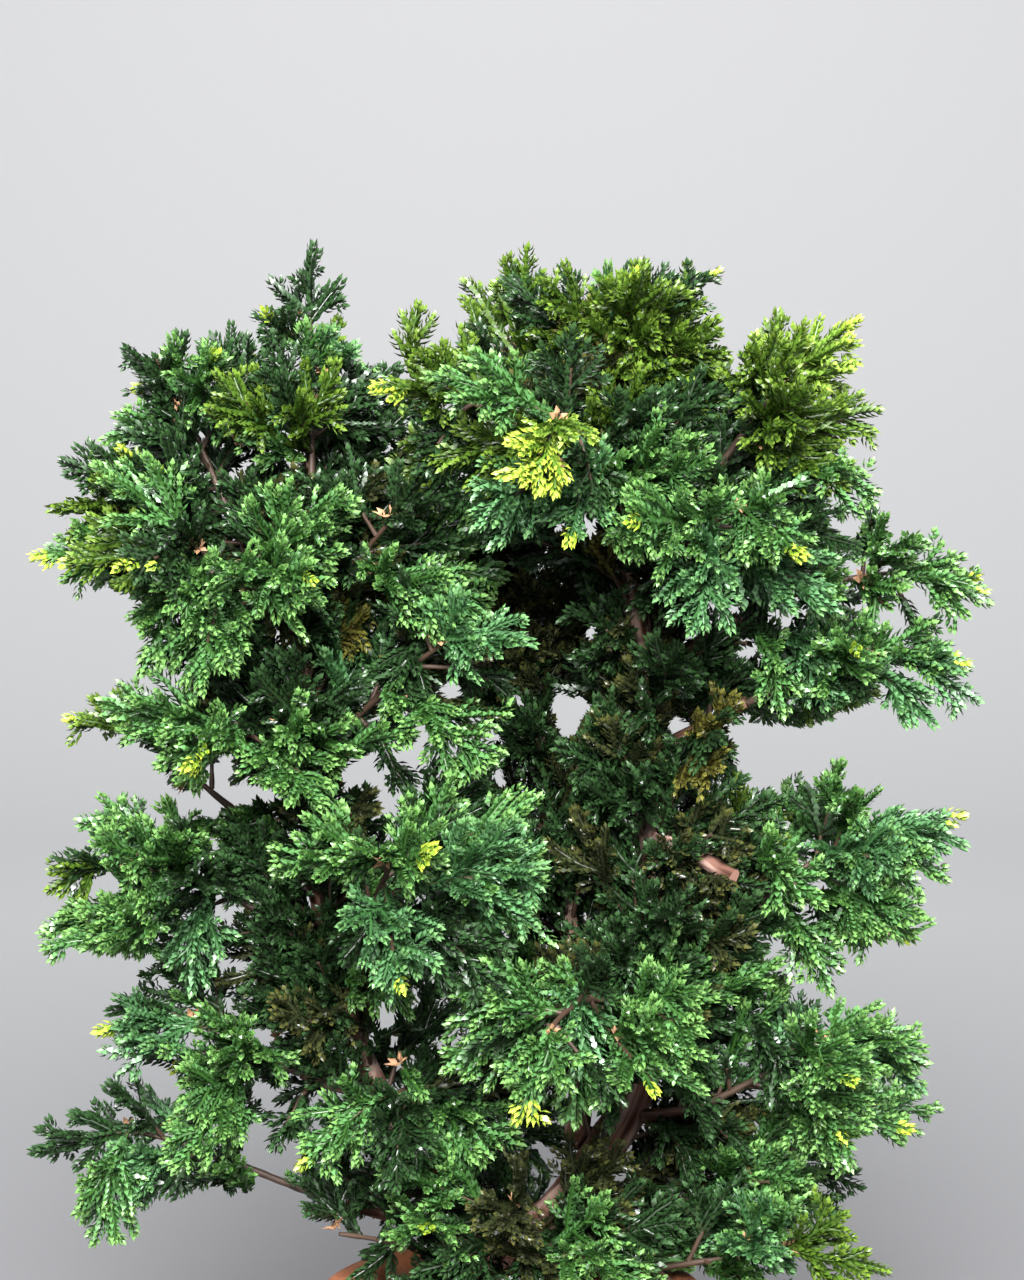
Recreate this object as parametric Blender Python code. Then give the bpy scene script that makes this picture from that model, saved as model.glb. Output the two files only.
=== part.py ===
"""Dwarf hinoki cypress in a small terracotta pot.

Three stems rise from one foot. Boughs leave them and end in masses of flat, lobed fans, each
mass grown by one seeded rule inside a space of its own. Metres, +Z up; the origin is the middle
of the pot's flat underside, and -Y is the plant's front.
"""
import math
import random

import bmesh
import bpy
import numpy as np
from mathutils import Matrix, Vector
from mathutils.bvhtree import BVHTree

MM = 0.001
UP = Vector((0.0, 0.0, 1.0))
LIGHT = Vector((-0.2, -0.8, 0.5))

# Pot and its filling.
POT_HEIGHT = 80 * MM
POT_FOOT_RADIUS = 31 * MM
POT_RIM_RADIUS = 45 * MM
POT_RIM_BAND = 18 * MM
POT_RIM_STEP = 2.6 * MM
POT_WALL = 5.5 * MM
POT_FLOOR = 7 * MM
POT_EDGE = 1.2 * MM
POT_SIDES = 40
SOIL_TOP = 71 * MM
CLEARANCE = 0.3 * MM

# Stems: a few points of each centre line (x, y, z in mm), and the radius at foot and tip.
STEMS = {
    "trunk": {
        "line": ((-3, 2, 71.3), (6, 3, 92), (27, 7, 122), (32, 8, 170), (32, 8, 217), (24, 6, 262),
                 (20, 8, 284)),
        "foot": 5.6 * MM, "tip": 1.5 * MM, "host": None},
    "left_stem": {
        "line": ((-6, 3, 84), (-24, 3, 114), (-37, 3, 141), (-45, 3, 176), (-48, 4, 217),
                 (-46, 6, 262)),
        "foot": 3.6 * MM, "tip": 1.3 * MM, "host": "trunk"},
    "back_stem": {
        "line": ((20, 8, 112), (17, 24, 140), (9, 37, 185), (3, 42, 232), (3, 44, 276)),
        "foot": 3.2 * MM, "tip": 1.2 * MM, "host": "trunk"},
}
STEM_SIDES = 8
STEM_RING_STEP = 16 * MM
STEM_TAPER = 0.85
LIMB_CREASE = 60
FLARE = 0.75
FLARE_HEIGHT = 7 * MM
FLARE_RINGS = (0.22, 0.5)
FLARE_LOBES = 4
FLARE_LOBE_DEPTH = 0.07

# Branches. Sizes in mm, angles in degrees:
#   fork     height at which the branch leaves its stem (0: it carries on from the stem's tip)
#   bearing  direction of the tip from the pot's axis, 0 is +X and 90 is +Y, the back
#   reach    distance of the tip from the pot's axis
#   height   height of the tip
#   rise     how steeply the branch first climbs
#   pitch    slope of its last stretch
#   bough    share of its length that is bare bough (0: its foliage has the whole branch)
#   spread   length of its longest side twigs
#   fans     how many fans it carries
#   fan      length of its longest fans
#   seed     picks one of the arrangements the growth rule can give
BRANCH_FIELDS = ("stem", "fork", "bearing", "reach", "height", "rise", "pitch", "bough", "spread",
                 "fans", "fan", "seed")
BRANCHES = {
    "left_front_low": ("left_stem", 200, -144, 86, 210, 1.0, -35, 0.22, 20, 9, 30, 0),
    "left_front": ("left_stem", 232, -149, 96, 252, 1.0, -25, 0.24, 22, 10, 32, 1),
    "front_branch": ("left_stem", 154, -105, 72, 194, 0.9, 0, 0.30, 20, 8, 32, 2),
    "front_drop": ("trunk", 140, -88, 66, 136, 1.4, -80, 0.24, 16, 8, 29, 3),
    "top_front": ("trunk", 262, -87, 65, 270, 1.4, -60, 0, 17, 8, 29, 4),
    "right_front": ("trunk", 242, -36, 76, 254, 1.4, -55, 0.24, 19, 9, 31, 5),
    "crest_left": ("left_stem", 0, 153, 53, 322, 1.0, 88, 0, 8, 9, 22, 5),
    "high_left": ("left_stem", 236, 162, 99, 291, 1.1, -10, 0.25, 22, 11, 29, 7),
    "left_arm": ("left_stem", 226, -177, 108, 252, 0.9, -10, 0.32, 14, 9, 26, 8),
    "left_small": ("left_stem", 184, 167, 108, 212, 0.5, -5, 0, 9, 5, 24, 9),
    "center_left": ("left_stem", 205, -87, 40, 236, 0.8, -10, 0, 16, 8, 30, 10),
    "inner_left": ("left_stem", 240, -111, 32, 268, 0.6, 0, 0, 15, 6, 30, 11),
    "top_front_left": ("trunk", 266, -132, 44, 290, 0.7, -5, 0, 15, 7, 28, 12),
    "top_back": ("back_stem", 0, 85, 45, 322, 1.0, 70, 0, 16, 8, 30, 13),
    "top_right": ("trunk", 0, 23, 51, 316, 1.0, 45, 0, 14, 8, 30, 14),
    "right_crest": ("trunk", 252, -4, 77, 305, 0.8, 35, 0.24, 18, 9, 28, 15),
    "right_arm": ("trunk", 224, 3, 109, 243, 0.9, -20, 0.32, 14, 8, 26, 16),
    "right_low_arm": ("trunk", 206, -8, 103, 229, 0.9, -5, 0.28, 12, 8, 28, 17),
    "left_tier": ("left_stem", 160, 177, 111, 172, 1.5, -40, 0.22, 24, 11, 31, 18),
    "mid_right": ("trunk", 137, -52, 56, 150, 0.8, -15, 0, 15, 6, 26, 19),
    "right_tier": ("trunk", 154, 0, 103, 192, 1.0, -5, 0.24, 20, 9, 31, 20),
    "right_tier_low": ("trunk", 122, -9, 94, 142, 0.8, -20, 0.22, 17, 9, 31, 21),
    "left_mid_low": ("left_stem", 128, -177, 95, 143, 0.8, -30, 0.22, 17, 8, 30, 22),
    "left_bottom": ("left_stem", 98, 175, 113, 112, 0.9, -25, 0.22, 18, 10, 30, 23),
    "bottom_left": ("left_stem", 92, -158, 64, 97, 0.9, -20, 0, 17, 7, 28, 24),
    "bottom_center": ("trunk", 90, -92, 46, 110, 0.8, -20, 0, 18, 8, 30, 25),
    "center_low": ("left_stem", 118, -118, 53, 144, 0.8, -5, 0, 15, 6, 27, 38),
    "bottom_right": ("trunk", 104, 8, 78, 114, 0.5, -5, 0, 19, 9, 31, 26),
    "bottom_right_front": ("trunk", 86, -17, 88, 94, 0.7, -10, 0, 17, 8, 29, 27),
    "right_far": ("trunk", 98, 29, 122, 110, 0.6, -5, 0, 13, 7, 25, 28),
    "rear_top_left": ("left_stem", 250, 124, 86, 286, 0.8, -10, 0, 20, 8, 32, 29),
    "rear_top_right": ("trunk", 245, 50, 86, 287, 0.8, -10, 0, 20, 7, 32, 30),
    "rear_mid_left": ("left_stem", 195, 137, 96, 232, 0.7, -20, 0, 21, 9, 32, 31),
    "rear_mid": ("back_stem", 205, 90, 96, 238, 0.8, -20, 0.24, 22, 9, 32, 32),
    "rear_mid_right": ("trunk", 196, 38, 98, 232, 0.7, -15, 0, 20, 9, 32, 33),
    "rear_low_left": ("left_stem", 132, 137, 98, 164, 0.7, -25, 0, 21, 9, 32, 34),
    "rear_low": ("back_stem", 142, 88, 94, 172, 0.7, -25, 0, 21, 8, 32, 35),
    "rear_low_right": ("trunk", 116, 58, 96, 172, 0.7, -25, 0, 21, 9, 32, 36),
    "rear_bottom": ("trunk", 88, 105, 82, 108, 0.6, -25, 0, 21, 8, 32, 37),
}
BOUGH_RADIUS = 1.9 * MM
BOUGH_TAPER = 0.62
BOUGH_SIDES = 6
BRANCH_RING_STEP = 11 * MM
SHOOT_RADIUS = 1.15 * MM
SHOOT_TAPER = 0.55
SHOOT_SIDES = 3
TWIG_RADIUS = 0.62 * MM
TWIG_SINK = 3

# Fans: lobed blades with a ridge at their middle. Angles from the middle, lengths as shares.
FAN_THICKNESS = 2.4 * MM
FAN_CUP = 0.22
FAN_ROOT = 0.40
FAN_LOBES = ((0, 0.62), (50, 0.60), (100, 0.50))
FAN_NOTCH = 0.80
TWIG_SLANT = math.radians(58)
SLANT_CHANGE = 0.2
FIRST_TWIG = 0.02
LAST_TWIG = 0.92
TWIG_SHORTENING = 0.45
LEAST_TWIG = 0.45
FAN_SHORTENING = 0.3
LONGEST_FAN = 1.12
LEAST_FAN = 0.85
FAN_SPREAD = 0.2
FAN_DROOP = (-0.4, 0.2)
FACING_OUT = 0.6
FACING_UP = 0.3
FACING_LIGHT = 0.4
ROLL_CHANGE = 0.3
TIP_ROLL = 1.1
FAN_SPACING = 0.40
TIP_MARGIN = 2 * MM
MASS_DEPTH = 0.9
UPRIGHT = 60
TRIES = 80
GOLDEN_ANGLE = math.radians(137.5)
GOLDEN_SHARE = 0.618
CURVE_PULL = 0.36
CLIMB = 0.6
TIP_FAN_SHARE = 0.80
SPACE_HEART = 0.8
SPACE_CORE = 10 * MM
SPACE_PER_SPREAD = 0.6

# Clearances between neighbours.
SPACE_SHARED = 18 * MM
NEIGHBOUR_MARGIN = 0.7 * MM
LIMB_MARGIN = 1.5 * MM
POT_MARGIN = 3 * MM


# ---------------------------------------------------------------- lines and frames

def bearing_vector(degrees):
    angle = math.radians(degrees)
    return Vector((math.cos(angle), math.sin(angle), 0.0))


def smooth_line(points, step):
    """Evenly dense points of a Catmull-Rom curve through the given ones."""
    line = []
    last = len(points) - 1
    for i in range(last):
        before, here, there, after = (points[max(i - 1, 0)], points[i], points[i + 1],
                                      points[min(i + 2, last)])
        count = max(1, round((there - here).length / step))
        for k in range(count):
            t = k / count
            line.append(0.5 * (2 * here + (there - before) * t
                               + (2 * before - 5 * here + 4 * there - after) * t * t
                               + (3 * here - before - 3 * there + after) * t ** 3))
    line.append(points[-1].copy())
    return line


def bezier(ends, t):
    a, b, c, d = ends
    s = 1 - t
    return a * s ** 3 + b * (3 * s * s * t) + c * (3 * s * t * t) + d * t ** 3


def bezier_slope(ends, t):
    a, b, c, d = ends
    s = 1 - t
    return ((b - a) * (3 * s * s) + (c - b) * (6 * s * t) + (d - c) * (3 * t * t)).normalized()


def across(axis, towards):
    """Unit vector square to the axis, leaning towards the given direction."""
    side = towards - axis * towards.dot(axis)
    if side.length < 1e-6:
        side = axis.orthogonal()
    return side.normalized()


def at_height(line, radii, height):
    """Point, radius and slope of a limb at a height."""
    for i in range(len(line) - 1):
        if line[i].z <= height <= line[i + 1].z:
            share = (height - line[i].z) / (line[i + 1].z - line[i].z)
            radius = radii[i] + (radii[i + 1] - radii[i]) * share
            return line[i].lerp(line[i + 1], share), radius, (line[i + 1] - line[i]).normalized()
    return line[-1], radii[-1], (line[-1] - line[-2]).normalized()


# ---------------------------------------------------------------- meshes

def new_object(name, mesh_data, material=None):
    mesh = bpy.data.meshes.new(name)
    mesh.from_pydata(*mesh_data)
    mesh.update()
    obj = bpy.data.objects.new(name, mesh)
    if material:
        mesh.materials.append(material)
    return obj


def tube(line, radii, sides, first_slope=None):
    """A closed tube of rings along a line; radii may be numbers or functions of the angle."""
    verts, faces = [], []
    side = None
    for i, point in enumerate(line):
        slope = (line[min(i + 1, len(line) - 1)] - line[max(i - 1, 0)]).normalized()
        if i == 0 and first_slope:
            slope = first_slope
        side = across(slope, side if side else slope.orthogonal())
        other = slope.cross(side)
        for k in range(sides):
            angle = 2 * math.pi * k / sides
            radius = radii[i](angle) if callable(radii[i]) else radii[i]
            verts.append(point + (side * math.cos(angle) + other * math.sin(angle)) * radius)
    for i in range(len(line) - 1):
        for k in range(sides):
            a = i * sides + k
            b = i * sides + (k + 1) % sides
            faces.append((a, b, b + sides, a + sides))
    faces.append(tuple(range(sides))[::-1])
    faces.append(tuple(range(len(verts) - sides, len(verts))))
    return verts, [], faces


def turned(profile, sides):
    """A closed body turned round the Z axis; the profile starts and ends on the axis."""
    verts, faces, rings = [], [], []
    for radius, height in profile:
        if radius == 0:
            rings.append([len(verts)])
            verts.append((0.0, 0.0, height))
            continue
        rings.append(list(range(len(verts), len(verts) + sides)))
        for k in range(sides):
            angle = 2 * math.pi * k / sides
            verts.append((radius * math.cos(angle), radius * math.sin(angle), height))
    for low, high in zip(rings, rings[1:]):
        for k in range(sides):
            j = (k + 1) % sides
            if len(low) == 1:
                faces.append((low[0], high[j], high[k]))
            elif len(high) == 1:
                faces.append((low[k], low[j], high[0]))
            else:
                faces.append((low[k], low[j], high[j], high[k]))
    return verts, [], faces


def fan_outline():
    """The blade's outline as (forward, sideways) shares of its length, from its middle."""
    half = [(math.radians(angle), size) for angle, size in FAN_LOBES]
    right = [half[0]]
    for (a0, s0), (a1, s1) in zip(half, half[1:]):
        right += [((a0 + a1) / 2, (s0 + s1) / 2 * FAN_NOTCH), (a1, s1)]
    ring = [(-angle, size) for angle, size in right[:0:-1]] + right
    return [(size * math.cos(angle), size * math.sin(angle)) for angle, size in ring]


def fan_middle(fan):
    return fan["root"] + fan["axis"] * (FAN_ROOT * fan["length"])


def fan_blade(fan, margin=0.0):
    """A cupped, lobed blade: its outline joined to a ridge point above and one below."""
    middle = fan_middle(fan)
    side = fan["axis"].cross(fan["face"])
    rim = []
    for forward, sideways in fan_outline():
        droop = FAN_CUP * (forward ** 2 + sideways ** 2)
        rim.append(middle + (fan["axis"] * forward + side * sideways - fan["face"] * droop)
                   * fan["length"])
    half = fan["face"] * (FAN_THICKNESS / 2 + margin)
    return rim, middle + half, middle - half


def spray_solid(fan, start, margin=0.0):
    """A blade on its three-sided twig, which starts inside the shoot."""
    rim, top, bottom = fan_blade(fan, margin)
    radius = TWIG_RADIUS + margin
    side = fan["axis"].cross(fan["face"]) * radius
    keel = fan["face"] * radius
    neck = [fan["root"] + side, fan["root"] - keel, fan["root"] - side]
    slope = (fan["root"] - start).normalized()
    across_twig = across(slope, side) * radius
    foot = [start + across_twig, start + slope.cross(across_twig), start - across_twig]
    verts = rim + [top, bottom] + neck + foot
    count = len(rim)
    top, bottom = count, count + 1
    right, under, left = range(count + 2, count + 5)
    outline = [left] + list(range(count)) + [right]
    faces = [(left, right, top), (right, under, bottom), (under, left, bottom)]
    for a, b in zip(outline, outline[1:]):
        faces += [(b, a, top), (a, b, bottom)]
    for k in range(3):
        a, b = count + 2 + k, count + 2 + (k + 1) % 3
        faces.append((a, a + 3, b + 3, b))
    faces.append((count + 5, count + 7, count + 6))
    return verts, [], faces


# ---------------------------------------------------------------- limbs

def flare_fade(point, foot):
    """Strength of the root flare: 1 at the soil, fading with height."""
    return math.exp(-(point.z - foot.z) / FLARE_HEIGHT)


def stem_limbs():
    """Centre line and radii of the stems, hosts first."""
    limbs = {}
    for name, row in STEMS.items():
        points = [Vector(point) * MM for point in row["line"]]
        if row["host"]:
            host = limbs[row["host"]]
            centre, radius, slope = at_height(host["line"], host["radii"], points[0].z)
            out = across(slope, points[1] - centre)
            points[0] = centre + out * (radius + CLEARANCE)
            points.insert(1, points[0] + out * row["foot"])
        else:
            out = UP
        line = smooth_line(points, STEM_RING_STEP)
        last = len(line) - 1
        radii = [row["foot"] + (row["tip"] - row["foot"]) * (i / last) ** STEM_TAPER
                 for i in range(last + 1)]
        if not row["host"]:
            extra = [line[0].lerp(line[1], share) for share in FLARE_RINGS]
            line[1:1] = extra
            radii[1:1] = [radii[0]] * len(extra)
            radii = [radius * (1 + FLARE * flare_fade(point, line[0]))
                     for radius, point in zip(radii, line)]
        limbs[name] = {"line": line, "radii": radii, "start": out}
    return limbs


def branch_rows():
    return {name: dict(zip(BRANCH_FIELDS, row)) for name, row in BRANCHES.items()}


def branch_curve(row, stems):
    """The whole branch's centre line, from the bark of its stem to the tip of its last fan."""
    stem = stems[row["stem"]]
    tip = bearing_vector(row["bearing"]) * row["reach"] * MM + UP * row["height"] * MM
    if row["fork"]:
        centre, radius, slope = at_height(stem["line"], stem["radii"], row["fork"] * MM)
        out = across(slope, tip - centre)
        start = centre + out * (radius + CLEARANCE)
        first = (out + UP * row["rise"] * CLIMB).normalized()
    else:
        slope = (stem["line"][-1] - stem["line"][-2]).normalized()
        out = slope
        start = stem["line"][-1] + slope * CLEARANCE
        first = (slope + UP).normalized()
    span = (tip - start).length
    flat = (tip - start).normalized()
    flat = Vector((flat.x, flat.y, 0.0)).normalized()
    pitch = math.radians(row["pitch"])
    last = flat * math.cos(pitch) + UP * math.sin(pitch)
    pull = span * CURVE_PULL
    return {"ends": (start, start + first * pull, tip - last * pull, tip), "span": span, "out": out}


def branch_parts(row, curve):
    """Splits a branch into its bare bough and the shoot that carries its fans."""
    ends, span = curve["ends"], curve["span"]
    shoot_end = 1 - TIP_FAN_SHARE * row["fan"] * MM / span
    bough = None
    start = 0.0
    if row["bough"]:
        bough = limb_along(ends, span, 0.0, row["bough"], BOUGH_RADIUS, BOUGH_TAPER, curve["out"])
        start = row["bough"] + CLEARANCE / span
    shoot = limb_along(ends, span, start, shoot_end, SHOOT_RADIUS, SHOOT_TAPER,
                       None if row["bough"] else curve["out"])
    shoot["from"], shoot["to"] = start, shoot_end
    return bough, shoot


def limb_along(ends, span, t0, t1, radius, taper, start):
    count = max(3, round((t1 - t0) * span / BRANCH_RING_STEP))
    line = [bezier(ends, t0 + (t1 - t0) * i / count) for i in range(count + 1)]
    radii = [radius * (1 + (taper - 1) * i / count) for i in range(count + 1)]
    return {"line": line, "radii": radii, "start": start or bezier_slope(ends, t0)}


# ---------------------------------------------------------------- growth

def branch_space(shoot, row):
    """Heart and size of a mass's own space."""
    line = shoot["line"]
    return {"heart": line[0].lerp(line[-1], SPACE_HEART),
            "size": SPACE_CORE + SPACE_PER_SPREAD * row["spread"] * MM}


def in_space(points, own, others):
    """True if every point lies on the mass's side of the planes to its neighbours."""
    for other in others:
        apart = other["heart"] - own["heart"]
        distance = apart.length
        limit = (distance ** 2 + own["size"] ** 2 - other["size"] ** 2) / (2 * distance)
        normal = apart / distance
        for point in points:
            if (point - own["heart"]).dot(normal) > limit + SPACE_SHARED:
                return False
    return True


class Obstacles:
    """Limbs as rods, for clearance tests."""

    def __init__(self, limbs):
        starts, ends, radii = [], [], []
        for limb in limbs:
            for i in range(len(limb["line"]) - 1):
                starts.append(limb["line"][i])
                ends.append(limb["line"][i + 1])
                radii.append(limb["radii"][i])
        self.starts = np.array(starts)
        self.spans = np.array(ends) - self.starts
        self.lengths = (self.spans ** 2).sum(axis=1)
        self.radii = np.array(radii)

    def clear(self, points, margin):
        places = np.array(points)[:, None, :]
        share = ((places - self.starts) * self.spans).sum(axis=2) / self.lengths
        share = np.clip(share, 0, 1)[:, :, None]
        distance = np.linalg.norm(places - self.starts - self.spans * share, axis=2)
        return bool((distance - self.radii > margin).all())


def clear_of_pot(points):
    return all(point.z > POT_HEIGHT + POT_MARGIN
               or math.hypot(point.x, point.y) > POT_RIM_RADIUS + POT_MARGIN for point in points)


def fan_points(fan):
    """Points spread over a blade, close enough for the clearance tests."""
    rim, top, bottom = fan_blade(fan)
    return rim + [top, bottom] + [bottom.lerp(point, share) for point in rim
                                  for share in (0.35, 0.7)]


def make_fan(root, axis, towards, length):
    return {"root": root, "axis": axis, "face": across(axis, towards), "length": length}


def swollen_tree(fan, start):
    """Surface of a spray that is larger all round by the margin to the neighbouring masses."""
    larger = dict(fan, length=fan["length"] + 4 * NEIGHBOUR_MARGIN)
    larger["root"] = fan_middle(fan) - fan["axis"] * (FAN_ROOT * larger["length"])
    verts, _, faces = spray_solid(larger, start, NEIGHBOUR_MARGIN)
    return BVHTree.FromPolygons(verts, faces)


def joined_tree(meshes):
    """One search tree over the surfaces of several meshes."""
    verts, faces = [], []
    for mesh_verts, _, mesh_faces in meshes:
        faces += [tuple(index + len(verts) for index in face) for face in mesh_faces]
        verts += mesh_verts
    return BVHTree.FromPolygons(verts, faces)


def facing_of(row):
    """Where the upper sides of a mass look: up and outwards."""
    return UP + bearing_vector(row["bearing"]) * FACING_OUT


def tip_spray(row, curve, shoot):
    """The fan that carries the shoot on to the branch's tip, and where its twig starts."""
    ends = curve["ends"]
    slope = bezier_slope(ends, 1.0)
    root = bezier(ends, shoot["to"])
    roll = random.Random(row["seed"]).uniform(-TIP_ROLL, TIP_ROLL)
    face = Matrix.Rotation(roll, 3, slope) @ across(slope, facing_of(row))
    axis = ends[3] - root
    return (make_fan(root, axis.normalized(), face, axis.length),
            shoot["line"][-1] - slope * TWIG_RADIUS * TWIG_SINK)


def grow_mass(row, curve, shoot, space, others, obstacles, neighbours):
    """Sprays round the shoot: each a twig and a fan that stands apart from the others."""
    rng = random.Random(row["seed"])
    ends = curve["ends"]
    outward = bearing_vector(row["bearing"])
    facing = facing_of(row)
    heights = [point.z for point in shoot["line"]]
    depth = row["spread"] * MM * MASS_DEPTH
    ceiling = max(ends[3].z + TIP_MARGIN, max(heights) + depth)
    floor = min(ends[3].z - TIP_MARGIN, min(heights) - depth)
    upright = row["pitch"] > UPRIGHT
    reach = (row["reach"] + upright * row["spread"]) * MM + TIP_MARGIN
    last_fan, last_start = tip_spray(row, curve, shoot)
    fans, starts, middles = [last_fan], [last_start], [fan_middle(last_fan)]
    for i in range(row["fans"] * TRIES):
        if len(fans) >= row["fans"]:
            break
        share = FIRST_TWIG + (LAST_TWIG - FIRST_TWIG) * (i * GOLDEN_SHARE % 1.0)
        t = shoot["from"] + (shoot["to"] - shoot["from"]) * share
        root, slope = bezier(ends, t), bezier_slope(ends, t)
        above = across(slope, facing)
        roll = i * GOLDEN_ANGLE + rng.uniform(-ROLL_CHANGE, ROLL_CHANGE)
        spread = above * math.cos(roll) + slope.cross(above) * math.sin(roll)
        slant = TWIG_SLANT * rng.uniform(1 - SLANT_CHANGE, 1 + SLANT_CHANGE)
        direction = (slope * math.cos(slant) + spread * math.sin(slant)).normalized()
        length = (row["spread"] * MM * (1.0 - TWIG_SHORTENING * share)
                  * rng.uniform(LEAST_TWIG, 1.0))
        axis = direction + spread * FAN_SPREAD + UP * rng.uniform(*FAN_DROOP)
        face = (spread + facing * FACING_UP + outward * rng.uniform(0.0, FACING_OUT)
                + LIGHT * FACING_LIGHT)
        fan = make_fan(root + direction * length, axis.normalized(), face,
                       row["fan"] * MM * (LONGEST_FAN - FAN_SHORTENING * share)
                       * rng.uniform(LEAST_FAN, 1.0))
        middle = fan_middle(fan)
        points = fan_points(fan)
        stalk = [root.lerp(fan["root"], k / 4) for k in (1, 2, 3)]
        if (min((middle - other).length for other in middles) > FAN_SPACING * row["fan"] * MM
                and max(point.dot(outward) for point in points) < reach
                and all(floor < point.z < ceiling for point in points)
                and in_space(points + stalk, space, others)
                and obstacles.clear(points, LIMB_MARGIN)
                and obstacles.clear(stalk, TWIG_RADIUS * 2)
                and clear_of_pot(points)):
            tree = swollen_tree(fan, root)
            if any(tree.overlap(other) for other in neighbours):
                continue
            starts.append(root)
            fans.append(fan)
            middles.append(middle)
    return [spray_solid(fan, start) for fan, start in zip(fans, starts)]


def grow_masses(rows, curves, parts, stems):
    """The sprays of every mass, each grown clear of the limbs and of the masses before it."""
    spaces = {name: branch_space(parts[name][1], rows[name]) for name in rows}
    tips = {name: joined_tree([spray_solid(*tip_spray(rows[name], curves[name], parts[name][1]))])
            for name in rows}
    masses = {}
    grown = []
    for name, row in rows.items():
        shoot = parts[name][1]
        others = [spaces[key] for key in rows if key != name]
        limbs = list(stems.values()) + [limb for key in rows for limb in parts[key] if limb
                                        and not (key == name and limb is shoot)]
        wood = joined_tree([tube(limb["line"], limb["radii"], BOUGH_SIDES) for limb in limbs])
        tips_ahead = [tips[key] for key in rows if key != name and key not in masses]
        masses[name] = grow_mass(row, curves[name], shoot, spaces[name], others,
                                 Obstacles(limbs), grown + tips_ahead + [wood])
        grown.append(joined_tree(masses[name]))
    return masses


# ---------------------------------------------------------------- materials

def material(name, colour, roughness):
    made = bpy.data.materials.new(name)
    made.use_nodes = True
    shader = made.node_tree.nodes["Principled BSDF"]
    shader.inputs["Base Color"].default_value = (*colour, 1.0)
    shader.inputs["Roughness"].default_value = roughness
    shader.inputs["Metallic"].default_value = 0.0
    made.diffuse_color = (*colour, 1.0)
    return made


# ---------------------------------------------------------------- pieces

def keep_outer_shell(mesh):
    """Drops loose scraps and the walls of hollows that fusing has sealed."""
    shape = bmesh.new()
    shape.from_mesh(mesh)
    unseen = set(shape.faces)
    shells = []
    while unseen:
        front = [unseen.pop()]
        shell = list(front)
        while front:
            for edge in front.pop().edges:
                for face in edge.link_faces:
                    if face in unseen:
                        unseen.remove(face)
                        front.append(face)
                        shell.append(face)
        shells.append(shell)
    shells.sort(key=len)
    spare = [face for shell in shells[:-1] for face in shell]
    bmesh.ops.delete(shape, geom=spare, context="FACES")
    shape.to_mesh(mesh)
    shape.free()


def add(obj):
    bpy.context.scene.collection.objects.link(obj)
    return obj


def smooth(obj, degrees=40):
    obj.data.shade_smooth()
    obj.data.set_sharp_from_angle(angle=math.radians(degrees))
    return obj


def fuse(name, base, parts, finish):
    """One union of a shoot with its twigs and fans, applied."""
    body = add(new_object(name, base, finish))
    group = bpy.data.collections.new(name + "_parts")
    bpy.context.scene.collection.children.link(group)
    helpers = [new_object(f"{name}_{i}", part) for i, part in enumerate(parts)]
    for helper in helpers:
        group.objects.link(helper)
    union = body.modifiers.new("union", "BOOLEAN")
    union.operation = "UNION"
    union.operand_type = "COLLECTION"
    union.collection = group
    union.solver = "MANIFOLD"
    bpy.context.view_layer.update()
    fused = bpy.data.meshes.new_from_object(body.evaluated_get(
        bpy.context.evaluated_depsgraph_get()))
    body.modifiers.remove(union)
    body.data = fused
    fused.name = name
    keep_outer_shell(fused)
    for helper in helpers:
        bpy.data.objects.remove(helper)
    bpy.data.collections.remove(group)
    return body


def build_pot(finish):
    rim_foot = POT_HEIGHT - POT_RIM_BAND
    taper = (POT_RIM_RADIUS - POT_RIM_STEP - POT_FOOT_RADIUS) / rim_foot
    inner_top = POT_RIM_RADIUS - POT_WALL
    inner_foot = POT_FOOT_RADIUS - POT_WALL + taper * POT_FLOOR
    profile = [
        (0, 0), (POT_FOOT_RADIUS - POT_EDGE, 0), (POT_FOOT_RADIUS, POT_EDGE),
        (POT_RIM_RADIUS - POT_RIM_STEP, rim_foot),
        (POT_RIM_RADIUS - POT_EDGE, rim_foot + POT_EDGE * 0.5),
        (POT_RIM_RADIUS, POT_HEIGHT - POT_EDGE), (POT_RIM_RADIUS - POT_EDGE, POT_HEIGHT),
        (inner_top + POT_EDGE, POT_HEIGHT), (inner_top, POT_HEIGHT - POT_EDGE),
        (inner_foot, POT_FLOOR), (0, POT_FLOOR)]
    return smooth(add(new_object("pot", turned(profile, POT_SIDES), finish)))


def build_soil(finish):
    taper = (POT_RIM_RADIUS - POT_RIM_STEP - POT_FOOT_RADIUS) / (POT_HEIGHT - POT_RIM_BAND)
    inner_top = POT_RIM_RADIUS - POT_WALL
    inner_foot = POT_FOOT_RADIUS - POT_WALL + taper * POT_FLOOR
    slope = (inner_top - inner_foot) / (POT_HEIGHT - POT_EDGE - POT_FLOOR)
    foot = POT_FLOOR + CLEARANCE
    gap = CLEARANCE * 1.2
    profile = [(0, foot), (inner_foot + slope * CLEARANCE - gap, foot),
               (inner_foot + slope * (SOIL_TOP - POT_FLOOR) - gap, SOIL_TOP), (0, SOIL_TOP)]
    return smooth(add(new_object("soil", turned(profile, POT_SIDES), finish)))


def lobed(radius, depth):
    """A radius that swells and shrinks round the trunk, as its roots do."""
    return lambda angle: radius * (1 + depth * math.cos(FLARE_LOBES * angle))


def build_limb(name, limb, sides, finish):
    mesh_data = tube(limb["line"], limb["radii"], sides, limb["start"])
    return smooth(add(new_object(name, mesh_data, finish)), LIMB_CREASE)


def build_trunk(limb, finish):
    foot = limb["line"][0]
    radii = [lobed(radius, FLARE_LOBE_DEPTH * flare_fade(point, foot))
             for radius, point in zip(limb["radii"], limb["line"])]
    return build_limb("trunk", dict(limb, radii=radii), STEM_SIDES, finish)


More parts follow.
